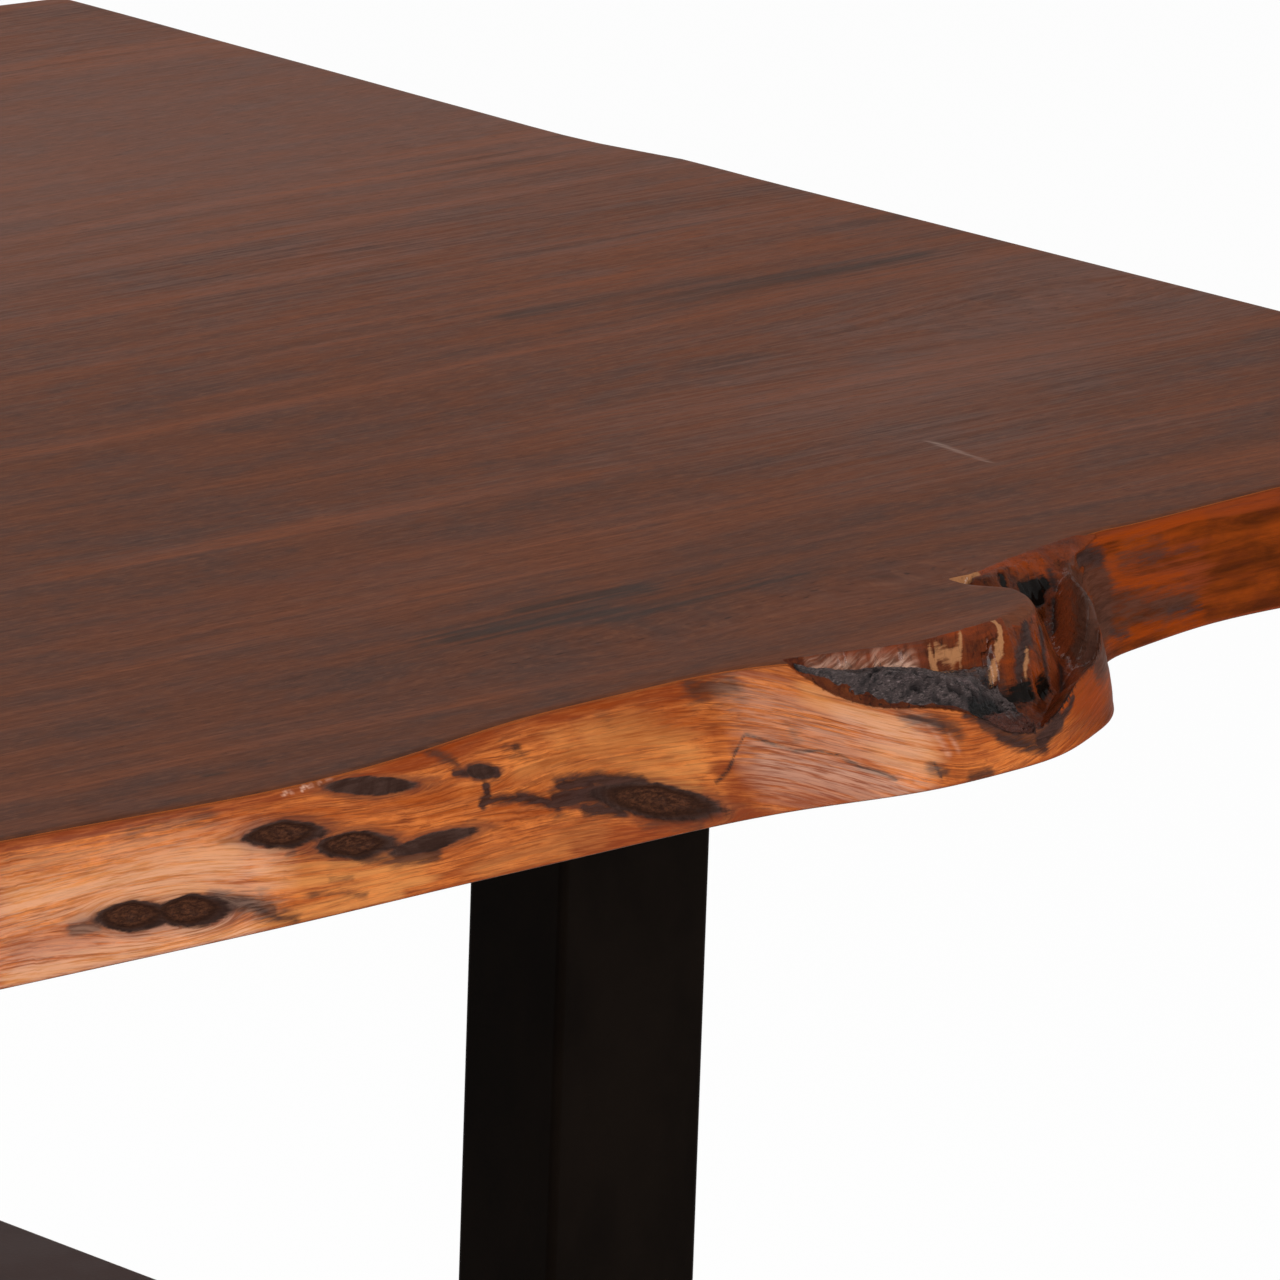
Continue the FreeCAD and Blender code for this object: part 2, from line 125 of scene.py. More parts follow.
def noise(*axes):
    """Smooth noise, about -1 to 1, at points given by one, two or three coordinate arrays."""
    axes = list(np.broadcast_arrays(*[np.asarray(a, float) for a in axes]))
    while len(axes) < 3:
        axes.append(np.full_like(axes[0], 0.37 + len(axes)))
    cell = [np.floor(a).astype(int) for a in axes]
    part = [a - c for a, c in zip(axes, cell)]
    fade = [t ** 3 * (t * (6 * t - 15) + 10) for t in part]
    total = 0.0
    for corner in itertools.product((0, 1), repeat=3):
        index = SHUFFLE[(cell[0] + corner[0]) & 255]
        index = SHUFFLE[index + ((cell[1] + corner[1]) & 255)]
        gradient = GRADIENTS[SHUFFLE[index + ((cell[2] + corner[2]) & 255)]]
        weight, dot = 1.0, 0.0
        for axis, far in enumerate(corner):
            weight = weight * (fade[axis] if far else 1 - fade[axis])
            dot = dot + gradient[..., axis] * (part[axis] - far)
        total = total + weight * dot
    return total * NOISE_GAIN


def layered(*axes):
    """Noise with finer and weaker octaves laid over it."""
    total = 0.0
    for octave in range(OCTAVES):
        total = total + 0.5 ** octave * noise(*[a * 2 ** octave + 17.3 * octave for a in axes])
    return total / NOISE_GAIN


# Knots and scars of the natural edges: x, z, half length, half height, tilt in degrees,
# depth, darkness. Those that the photo shows, from x = 145 to 387, were picked on it by eye
# and cast on to the slab through the camera by a separate script.
FRONT_KNOTS = (
    (145.3, 731.3, 16.5, 5.2, -6, 3.2, 1.0), (169.4, 729.1, 17.0, 5.6, -6, 3.4, 1.0),
    (214.2, 746.9, 18.0, 4.6, -5, 3.0, 0.9), (244.3, 738.4, 19.0, 4.7, -7, 3.2, 1.0),
    (280.0, 733.6, 21.0, 3.0, 1, 1.2, 0.95), (256.5, 755.5, 23.5, 3.1, -9, 1.0, 0.9),
    (311.2, 750.4, 7.2, 2.4, -9, 0.8, 0.9), (387.0, 728.8, 29.5, 6.2, -14, 4.2, 1.0),
    (-12.0, 741.0, 17.0, 4.4, -6, 3.2, 1.0), (-92.0, 733.0, 24.0, 4.0, 4, 2.2, 0.9),
    (-236.0, 744.0, 15.0, 4.6, 8, 3.4, 1.0), (-268.0, 738.0, 13.0, 4.0, 5, 3.0, 1.0),
    (-415.0, 735.0, 28.0, 5.4, -10, 4.0, 1.0), (-560.0, 748.0, 19.0, 3.4, 3, 1.6, 0.9),
    (-642.0, 733.0, 16.0, 4.8, -4, 3.4, 1.0), (-830.0, 742.0, 22.0, 4.4, 7, 3.0, 1.0),
    (880.0, 738.0, 18.0, 4.4, -8, 2.8, 0.9))
NO_KNOT = 9.0                   # ring value far from any knot; 1 is a knot's border
BACK_KNOTS = (
    (-870.0, 738.0, 20.0, 4.6, 6, 3.2, 1.0), (-690.0, 744.0, 15.0, 4.0, -5, 2.6, 1.0),
    (-655.0, 736.0, 17.0, 4.6, -7, 3.4, 1.0), (-455.0, 733.0, 30.0, 5.2, 11, 4.0, 1.0),
    (-300.0, 748.0, 18.0, 3.2, 0, 1.4, 0.9), (-130.0, 737.0, 14.0, 4.6, -6, 3.2, 1.0),
    (40.0, 730.0, 24.0, 4.4, 5, 2.6, 0.9), (236.0, 742.0, 16.0, 4.8, 8, 3.6, 1.0),
    (268.0, 737.0, 15.0, 4.2, 9, 3.0, 1.0), (455.0, 734.0, 27.0, 5.0, -9, 3.8, 1.0),
    (610.0, 749.0, 20.0, 3.2, 4, 1.2, 0.9), (790.0, 736.0, 18.0, 4.8, -5, 3.4, 1.0))


def knot_fields(x, z, knots):
    """Depth of the hollows, darkness, nearest ring value and how far the grain is pushed aside."""
    hollow, dark, push = np.zeros_like(x), np.zeros_like(x), np.zeros_like(x)
    ring = np.full_like(x, NO_KNOT)
    for cx, cz, a, b, tilt, depth, tone in knots:
        near = np.abs(x - cx) < 4 * a
        if not near.any():
            continue
        c, s = math.cos(math.radians(tilt)), math.sin(math.radians(tilt))
        dx, dz = x[near] - cx, z[near] - cz
        u, w = c * dx + s * dz, -s * dx + c * dz
        wobble = 0.06 * noise(x[near] / 8.0, z[near] / 3.5, cx)
        wobble = wobble + 0.02 * noise(x[near] / 2.5, z[near] / 1.2, cx)
        # pointed ends, like an eye
        r = ((np.abs(u) / a) ** 1.35 + (np.abs(w) / b) ** 1.8) ** 0.62 * (1 + wobble)
        bowl = np.clip(1 - r ** 2, 0, 1) ** 0.7
        lip = np.exp(-((r - 1.25) / 0.28) ** 2)
        hollow[near] = np.maximum(hollow[near], depth * bowl) - 0.10 * depth * lip
        dark[near] = np.maximum(dark[near], tone * smooth(1.12, 0.86, r))
        # a shallow knot is all dark fibres, a deep one has a crumbly core
        ring[near] = np.minimum(ring[near], r if depth > 1.8 else np.maximum(r, 0.86))
        rr = np.sqrt((u / a) ** 2 + (w / b) ** 2)
        push[near] += -1.2 * w / np.maximum(rr, 1) ** 2 * np.exp(-(rr / 5) ** 2)
    return hollow, dark, ring, push


# The natural edge's section: upright for EDGE_FOOT mm, then curving in by this power
EDGE_FOOT = 2
EDGE_POWER = 1.42


def edge_inset(x, z, top, low):
    share = np.clip((z - SLAB_BOTTOM - EDGE_FOOT) / (SLAB_TOP - SLAB_BOTTOM - EDGE_FOOT), 0, 1)
    return low(x) + (top(x) - low(x)) * share ** EDGE_POWER


# A raised flake on the front edge: a line of (x, z)
FLAKE = ((414, 731), (422, 734), (429, 739), (436, 743), (441, 741), (447, 738), (453, 736),
         (462, 735), (469, 733), (476, 728), (482, 726), (488, 723))


def to_polyline(x, z, points):
    """Distance from a line of points, share along it, and which side (positive above)."""
    best, along, side = np.full_like(x, 1e9), np.zeros_like(x), np.zeros_like(x)
    pts = np.array(points, float)
    lengths = np.concatenate([[0], np.cumsum(np.linalg.norm(np.diff(pts, axis=0), axis=1))])
    for i in range(len(pts) - 1):
        p, q = pts[i], pts[i + 1]
        d = q - p
        t = np.clip(((x - p[0]) * d[0] + (z - p[1]) * d[1]) / (d @ d), 0, 1)
        gap = np.hypot(x - p[0] - t * d[0], z - p[1] - t * d[1])
        closer = gap < best
        best = np.where(closer, gap, best)
        along = np.where(closer, (lengths[i] + t * (lengths[i + 1] - lengths[i])) / lengths[-1], along)
        side = np.where(closer, np.sign(d[0] * (z - p[1]) - d[1] * (x - p[0])), side)
    return best, along, side


def edge_relief(x, z, side):
    """How far the natural edge lies inside its smooth form, in mm."""
    knots = FRONT_KNOTS if side < 0 else BACK_KNOTS
    hollow, dark, _, _ = knot_fields(x, z, knots)
    waves = 0.55 + 0.5 * layered(x / 55.0, z / 26.0, side * 3.1)
    waves = waves + 0.16 * noise(x / 17.0, z / 5.0, side * 1.7)
    rough = dark * (0.5 * noise(x / 2.4, z / 1.2, 4.0) + 0.3 * noise(x / 6.0, z / 1.0, 8.0))
    relief = np.maximum(waves, 0) + hollow + rough
    if side < 0:
        gap, along, above = to_polyline(x, z, FLAKE)
        ends = smooth(0.05, 0.3, along) * smooth(1, 0.85, along)
        step = smooth(0.9, -0.9, gap * above) * 1.7 * np.exp(-gap / 4.5) * ends
        relief = relief + step
    return relief


# ------------------------------------------------------------------ mesh helpers

def new_mesh(name, points, faces):
    """Object from points in mm and a list of faces."""
    mesh = bpy.data.meshes.new(name)
    places = [tuple(point) for point in np.asarray(points) * MM]
    mesh.from_pydata(places, [], [tuple(map(int, face)) for face in faces])
    mesh.update()
    obj = bpy.data.objects.new(name, mesh)
    bpy.context.scene.collection.objects.link(obj)
    return obj


def coordinates(mesh):
    points = np.empty(len(mesh.vertices) * 3)
    mesh.vertices.foreach_get("co", points)
    return points.reshape(-1, 3)


FIELDS = {"FLOAT": "value", "FLOAT_VECTOR": "vector", "FLOAT_COLOR": "color"}


def store(mesh, name, kind, values):
    attribute = mesh.attributes.new(name, kind, "POINT")
    attribute.data.foreach_set(FIELDS[kind], np.ascontiguousarray(values, dtype=np.float32).ravel())


def shade_smooth(mesh, sharp_degrees=None):
    mesh.polygons.foreach_set("use_smooth", np.ones(len(mesh.polygons), bool))
    if sharp_degrees is not None:
        mesh.set_sharp_from_angle(angle=math.radians(sharp_degrees))


def apply_modifiers(obj):
    bpy.context.view_layer.update()
    graph = bpy.context.evaluated_depsgraph_get()
    mesh = bpy.data.meshes.new_from_object(obj.evaluated_get(graph))
    old = obj.data
    obj.modifiers.clear()
    obj.data = mesh
    bpy.data.meshes.remove(old)


# ------------------------------------------------------------------ slab mesh

# start, end and spacing of the sections along the slab, closest where the photo shows it
SPACINGS = ((-1021, 40, 3.6), (40, 100, 1.8), (100, 690, 1.0), (690, 820, 1.6), (820, 1021, 3.0))
END_STEPS = np.array([0, 0.3, 0.8, 1.6])
# rows across the top: distances in from the front edge, then shares of the way to the back
NEAR_ROWS = np.concatenate([[3.2, 4.8, 6.8], np.arange(9, 120, 4.0), np.arange(122, 200, 7.0)])
FAR_ROWS = np.linspace(0.04, 0.975, 34)


def stations():
    middle = [np.arange(*spacing) for spacing in SPACINGS]
    return np.concatenate([-HALF_LENGTH + END_STEPS, *middle, (HALF_LENGTH - END_STEPS)[::-1]])


ARRIS, LOWER_ARRIS, END_ROUND = 2.0, 1.3, 1.6
FRONT_ROWS, BACK_ROWS, BOTTOM_ROWS = 58, 30, 30


def slab_rows(x, pull):
    """Loop of rows round the slab at stations x. pull is how far the cut ends are rounded in."""
    top, bottom = SLAB_TOP - pull, SLAB_BOTTOM + pull

    def flank(side):
        """Rows of one natural edge as (y, z, tag), upwards at the front and down at the back."""
        top_of, low_of = (front_top, front_low) if side < 0 else (back_top, back_low)
        found = []
        for angle in np.radians((0, 25, 50, 70)):
            y = side * (HALF_WIDTH - low_of(x) - pull - LOWER_ARRIS * (1 - np.sin(angle)))
            z = bottom + LOWER_ARRIS * (1 - np.cos(angle))
            found.append((y, z, "low"))
        count = FRONT_ROWS if side < 0 else BACK_ROWS
        start, end = bottom + LOWER_ARRIS, top - ARRIS
        for share in np.linspace(0, 1, count):
            z = start + (end - start) * share
            inset = edge_inset(x, z, top_of, low_of) + pull
            slope = edge_inset(x, z + 0.5, top_of, low_of) - edge_inset(x, z - 0.5, top_of, low_of)
            length = np.sqrt(1 + slope ** 2)
            fade = min(share / 0.06, 1) * min((1 - share) / 0.06, 1)
            relief = edge_relief(x, z, side) * fade
            found.append((side * (HALF_WIDTH - inset - relief / length), z - relief * slope / length, "edge"))
        y0, z0 = found[-1][0], found[-1][1]
        corner = HALF_WIDTH - edge_inset(x, top, top_of, low_of) - pull
        y1, z1 = side * corner, top
        y2, z2 = side * (corner - ARRIS), top
        for t in (0.22, 0.42, 0.62, 0.81, 1.0):
            y = (1 - t) ** 2 * y0 + 2 * t * (1 - t) * y1 + t * t * y2
            z = (1 - t) ** 2 * z0 + 2 * t * (1 - t) * z1 + t * t * z2
            found.append((y, z, "edge" if t < 0.5 else "arris" if t < 0.9 else "top"))
        return found if side < 0 else found[::-1]

    rows = flank(-1)
    front_y = -HALF_WIDTH + front_top(x) + pull
    back_y = HALF_WIDTH - back_top(x) - pull
    inner = front_y + NEAR_ROWS[-1]
    for distance in NEAR_ROWS:
        rows.append((front_y + distance, top + 0 * x, "top"))
    for share in FAR_ROWS:
        rows.append((inner + share * (back_y - inner), top + 0 * x, "top"))
    rows += flank(1)
    front_y = -HALF_WIDTH + front_low(x) + pull
    back_y = HALF_WIDTH - back_low(x) - pull
    for share in np.linspace(0, 1, BOTTOM_ROWS)[1:-1]:
        rows.append((back_y + share * (front_y - back_y), bottom + 0 * x, "bottom"))
    return rows


def warp_ends(x, y):
    """Moves nominal stations so that the ends follow the saw lines."""
    ramp = smooth(0.84, 1.0, np.abs(x) / HALF_LENGTH)
    share = np.where(x > 0, y, -y) / HALF_WIDTH
    return x - np.sign(x) * ramp * end_cut(share)


def build_slab():
    nominal = stations()
    from_end = HALF_LENGTH - np.abs(nominal)
    round_part = np.sqrt(np.clip(END_ROUND ** 2 - (END_ROUND - from_end) ** 2, 0, None))
    pull = np.where(from_end < END_ROUND, END_ROUND - round_part, 0)
    rows = slab_rows(nominal, pull)
    # station, row, xyz
    points = np.stack([np.stack((warp_ends(nominal, y), y, z), 1) for y, z, tag in rows], 1)
    n, m = points.shape[:2]
    index = np.arange(n * m).reshape(n, m)
    nxt = np.roll(index, -1, axis=1)
    quads = np.stack([index[:-1], nxt[:-1], nxt[1:], index[1:]], 2).reshape(-1, 4)[:, ::-1]
    faces = [tuple(q) for q in quads]
    faces += end_faces(index[0], rows, False) + end_faces(index[-1], rows, True)
    return new_mesh("slab_wood_body", points.reshape(-1, 3), faces)


def end_faces(loop, rows, outward):
    """Closes an end: strips between the top and bottom rows, and one face for each natural edge."""
    tops = [i for i, row in enumerate(rows) if row[2] == "top"]
    lows = [i for i, row in enumerate(rows) if row[2] == "bottom"][::-1]
    front = list(range(tops[0] + 1)) + [lows[0]]
    back = list(range(tops[-1], lows[-1] + 1))
    faces = [[loop[i] for i in front], [loop[i] for i in back]]
    a, b = 0, 0
    while a < len(tops) - 1 or b < len(lows) - 1:
        ya = np.mean(rows[tops[min(a + 1, len(tops) - 1)]][0])
        yb = np.mean(rows[lows[min(b + 1, len(lows) - 1)]][0])
        if b == len(lows) - 1 or (a < len(tops) - 1 and ya <= yb):
            faces.append([loop[tops[a]], loop[tops[a + 1]], loop[lows[b]]])
            a += 1
        else:
            faces.append([loop[tops[a]], loop[lows[b + 1]], loop[lows[b]]])
            b += 1
    if outward:
        faces = [f[::-1] for f in faces]
    return [tuple(f) for f in faces]


# ------------------------------------------------------------------ burl pocket

def smooth_line(points, steps=10):
    """Smooth curve through points."""
    points = np.array(points, float)
    t = np.concatenate([[0], np.cumsum(np.linalg.norm(np.diff(points, axis=0), axis=1))])
    fine = np.interp(np.arange(0, (len(points) - 1) * steps + 1) / steps, np.arange(len(points)), t)
    return np.stack([spline(t, column)(fine) for column in points.T], 1)


def plan_curve(points):
    """Smooth plan curve through (station, inset) points, in mm."""
    return smooth_line([(s * HALF_LENGTH, inset - HALF_WIDTH) for s, inset in points])


TONGUE_LINE = plan_curve(TONGUE)
BEYOND_NECK = [(x, front_top(x) - HALF_WIDTH) for x in np.arange(692.0, 790.0, 8.0)]
NECK_LINE = np.vstack([plan_curve(NECK), BEYOND_NECK])
POCKET_X, POCKET_Y, POCKET_STEP = (440.0, 712.0), (-585.0, -428.0), 0.8
CUTTER_TOP = 830.0


def inside_polygon(x, y, polygon):
    inside = np.zeros(x.shape, bool)
    for (x0, y0), (x1, y1) in zip(polygon, np.roll(polygon, -1, axis=0)):
        crossing = (y0 > y) != (y1 > y)
        if crossing.any() and y1 != y0:
            inside ^= crossing & (x < (x1 - x0) * (y - y0) / (y1 - y0) + x0)
    return inside


# The pocket's outer rim on the natural edge: x, y, z
RIM = smooth_line((
    (466.5, -508, 761.5), (471, -517, 757), (479, -525, 751), (488, -531, 747.5), (504, -536.5, 745),
    (523, -541.5, 742), (536, -545, 736), (549, -546.5, 729.5), (560, -545.5, 728.5), (572, -543, 732),
    (590, -535, 738), (606, -527, 740), (622, -516, 740), (642, -494.5, 740), (663, -471, 742),
    (674, -461, 746), (686, -452, 754), (694, -446.5, 762)), 6)
POCKET_OUTLINE = np.vstack([TONGUE_LINE, NECK_LINE[NECK_LINE[:, 0] < 694], RIM[::-1, :2]])


def flank_level(x, y):
    """Level of the front edge's uncut surface over a plan point."""
    inset = y + HALF_WIDTH
    low, top = front_low(x), front_top(x)
    share = np.clip((inset - low) / np.maximum(top - low, 2.0), 0, 1) ** (1 / EDGE_POWER)
    return SLAB_BOTTOM + EDGE_FOOT + (SLAB_TOP - SLAB_BOTTOM - EDGE_FOOT) * share


def bark_top(x):
    """Level that the bark reaches: a strip of smooth wood stays clear above it."""
    return np.interp(x, (468, 478, 493, 506, 520, 531, 548), (761, 758, 755.5, 755.5, 753.5, 750, 748))


# The bowl beside the bark is a plane through this place, sloping along x and y
BOWL_X, BOWL_Y, BOWL_Z = 559.6, -543, 726
BOWL_FALL, BOWL_RISE = 0.2756, 0.5048


def pocket_floor(x, y):
    """Level of the pocket's floor in mm: the steep face under the bark, and the bowl beside it."""
    rim_y, rim_z = np.interp(x, RIM[:, 0], RIM[:, 1]), np.interp(x, RIM[:, 0], RIM[:, 2])
    face = np.minimum(rim_z - 1.5 + 0.95 * (y - rim_y), bark_top(x) - 2.0)
    bowl = BOWL_Z - BOWL_FALL * (x - BOWL_X) + BOWL_RISE * (y - BOWL_Y)
    return face + smooth(536, 560, x) * (bowl - face)


def pocket_surface(x, y):
    """Level of the pocket's carved surface, over the slab's top outside the pocket."""
    to_rim = to_polyline(x, y, RIM[:, :2])[0]
    wander = smooth(1.0, 9.0, to_rim)
    wx = x + wander * (1.2 * noise(x / 9.0, y / 9.0, 3.0) + 0.5 * noise(x / 3.0, y / 3.0, 5.0))
    wy = y + wander * (0.9 * noise(x / 8.0, y / 8.0, 11.0) + 0.4 * noise(x / 3.0, y / 3.0, 13.0))
    to_tongue, along, _ = to_polyline(wx, wy, TONGUE_LINE)
    to_neck = to_polyline(wx, wy, NECK_LINE)[0]
    inside = inside_polygon(wx, wy, POCKET_OUTLINE)
    gap = np.minimum(to_tongue, to_neck)
    depth = SLAB_TOP - pocket_floor(x, y)
    # the tongue's end leans out as a rounded shoulder, its side is steep
    end = smooth(0.42, 0.62, along) * smooth(1.0, 0.86, along)
    lean = 2.2 + 8.0 * end * (to_tongue < to_neck) + 9.0 * smooth(-4, 4, to_tongue - to_neck)
    t = gap / lean
    wall = 1 - np.exp(-(0.25 - 0.13 * end) * t - 0.9 * t ** 2)
    rough = 0.5 * noise(x / 4.0, y / 4.0, 21.0) + 0.25 * noise(x / 1.6, y / 1.6, 23.0)
    carved = SLAB_TOP - depth * wall + rough * smooth(2, 9, gap)
    uncut = flank_level(x, y)
    lip = np.minimum(0.5 * to_rim, 1.2) * smooth(0, 3, gap)
    level_there = np.minimum(uncut, np.interp(x, RIM[:, 0], RIM[:, 2]))
    # beside the neck the pocket runs out gently into the natural edge
    runs_out = smooth(606, 636, x) * smooth(18.0, 0.0, to_rim)
    carved = carved + runs_out * (uncut - 0.8 * smooth(0, 4, to_rim) - carved)
    carved = np.minimum(np.maximum(carved, level_there - 0.8 * to_rim), uncut - lip)
    outside = uncut + 0.7 * np.minimum(np.minimum(gap, to_rim), 30) + 0.02
    return np.where(inside, carved, outside)


def pocket_cutter():
    xs = np.arange(POCKET_X[0], POCKET_X[1], POCKET_STEP)
    ys = np.arange(POCKET_Y[0], POCKET_Y[1], POCKET_STEP)
    gx, gy = np.meshgrid(xs, ys, indexing="ij")
    level = pocket_surface(gx, gy)
    n, m = gx.shape
    lower = np.stack([gx, gy, level], 2).reshape(-1, 3)
    index = np.arange(n * m).reshape(n, m)
    quads = np.stack([index[:-1, :-1], index[:-1, 1:], index[1:, 1:], index[1:, :-1]], 2).reshape(-1, 4)
    faces = [tuple(q) for q in quads]
    rim = list(index[:, 0]) + list(index[-1, 1:]) + list(index[-2::-1, -1]) + list(index[0, -2:0:-1])
    top = [(lower[i][0], lower[i][1], CUTTER_TOP) for i in rim]
    base = len(lower)
    points = np.vstack([lower, top])
    count = len(rim)
    for k in range(count):
        a, b = rim[k], rim[(k + 1) % count]
        faces.append((a, b, base + (k + 1) % count, base + k))
    faces.append(tuple(base + k for k in range(count)))
    return new_mesh("pocket_cutter", points, faces), (xs, ys, level)


def sample(grid, x, y):
    xs, ys, level = grid
    u = np.clip((x - xs[0]) / (xs[1] - xs[0]), 0, len(xs) - 1.001)
    v = np.clip((y - ys[0]) / (ys[1] - ys[0]), 0, len(ys) - 1.001)
    i, j = u.astype(int), v.astype(int)
    a, b = u - i, v - j
    return ((1 - a) * (1 - b) * level[i, j] + a * (1 - b) * level[i + 1, j]
            + (1 - a) * b * level[i, j + 1] + a * b * level[i + 1, j + 1])


def height_solid(name, xs, ys, level, keep, thickness):
    """Closed solid under a grid of levels, over the kept cells."""
    gx, gy = np.meshgrid(xs, ys, indexing="ij")
    n, m = gx.shape
    upper = np.stack([gx, gy, level], 2).reshape(-1, 3)
    lower = upper - (0, 0, thickness)
    index = np.arange(n * m).reshape(n, m)
    a, b, c, d = index[:-1, :-1], index[1:, :-1], index[1:, 1:], index[:-1, 1:]
    kept = keep[:-1, :-1] & keep[1:, :-1] & keep[1:, 1:] & keep[:-1, 1:]
    quads = np.stack([a, b, c, d], 2)[kept]
    edges = {}
    for quad in quads:
        for i in range(4):
            p, q = int(quad[i]), int(quad[(i + 1) % 4])
            if (q, p) in edges:
                del edges[(q, p)]
            else:
                edges[(p, q)] = True
    count = n * m
    faces = [tuple(q) for q in quads] + [tuple(int(v) + count for v in q[::-1]) for q in quads]
    faces += [(q, p, p + count, q + count) for p, q in edges]
    points = np.vstack([upper, lower])
    used = np.unique(np.concatenate([np.array(f) for f in faces]))
    renumber = np.zeros(2 * count, int)
    renumber[used] = np.arange(len(used))
    return new_mesh(name, points[used], [tuple(renumber[list(f)]) for f in faces])


BARK_MEETING = 557.5
EDGE_MARGIN = 1.4
BARK_OUTLINE = np.array((
    (470, -509), (472, -519), (482, -530), (500, -537), (520, -542), (543, -548), (566, -547),
    (564, -530), (556, -518), (546, -511), (520, -511), (492, -509)), float)
RESIN_OUTLINE = np.array((
    (552, -549), (575, -544), (603, -528), (624, -511), (645, -489), (664, -466), (654, -454),
    (612, -460), (598, -463), (606, -480), (606, -497), (596, -510), (570, -518), (552, -520)), float)


def burl_solids(pocket_grid):
    step = 0.6
    xs, ys = np.arange(466.0, 668.0, step), np.arange(-551.0, -450.0, step)
    gx, gy = np.meshgrid(xs, ys, indexing="ij")
    carved = sample(pocket_grid, gx, gy)
    # the natural edge lies up to this far inside its smooth form
    room = flank_level(gx, gy - EDGE_MARGIN) - carved
    holes = strongest(gx, gy, POCKET_MARKS, "hole")
    cracks = strongest(gx, gy, POCKET_MARKS, "dark")
    # bark: cracked plates that run along the gutter
    wx, wy = gx + 1.5 * noise(gx / 7, gy / 5, 2.0), gy + 1.2 * noise(gx / 6, gy / 6, 4.0)
    plates = 1 - np.abs(noise(wx / 9.0, wy / 3.0, 31.0)) * 2.6
    chips = 1 - np.abs(noise(wx / 3.6, wy / 1.7, 33.0)) * 2.2
    crumbs = np.abs(noise(gx / 1.9, gy / 1.4, 35.0))
    relief = 1.2 + 1.5 * plates + 1.1 * chips + 1.2 * crumbs + 1.0 * noise(gx / 14, gy / 6, 37.0)
    film = strongest(gx, gy, POCKET_MARKS, "pale")
    relief = relief * (1 - 0.5 * film) + 1.2 * film - 2.6 * holes
    # under the tongue the bark runs on into the wood, and at the rim it dips below it
    under = ~inside_polygon(gx, gy, POCKET_OUTLINE) & (gy > -530)
    carved = np.minimum(carved, flank_level(gx, gy))
    bark = np.where(under, pocket_floor(gx, gy) + relief, carved + np.minimum(relief, 0.9 * room - 0.6))
    bark = np.minimum(bark, bark_top(gx) + 0.3 * relief - 0.6)
    keep = (gx < BARK_MEETING + 6) & inside_polygon(gx, gy, BARK_OUTLINE) & (room > -1)
    # how far the bark stands up, 0 to 1: its material paints shade in the hollows and highlights on the
    # ridges
    raised = np.clip(0.5 + 0.22 * (relief - 2.2), 0, 1)
    pieces = [(height_solid("burl_bark_body", xs, ys, bark, keep, 6.0), (xs, ys, raised))]

    lumps = 0.9 + 1.2 * layered(gx / 11.0, gy / 8.0, 41.0) + 0.5 * np.abs(noise(gx / 3.0, gy / 2.4, 43.0))
    lumps = lumps + 0.35 * np.abs(noise(gx / 1.6, gy / 1.6, 45.0)) - 2.4 * holes - 1.0 * cracks
    ramp = smooth(0.0, 5.0, to_polyline(gx, gy, np.vstack([RESIN_OUTLINE, RESIN_OUTLINE[:1]]))[0])
    ramp = np.where(gx < BARK_MEETING + 8, 1.0, ramp)
    resin = carved + np.minimum(lumps * ramp - 0.6 * (1 - ramp), 0.7 * room - 0.6)
    keep = (gx > BARK_MEETING - 2) & (room > -1) & inside_polygon(gx, gy, RESIN_OUTLINE)
    pieces.append((height_solid("burl_resin_body", xs, ys, resin, keep, 5.0), None))
    return pieces


# ------------------------------------------------------------------ marks in the wood

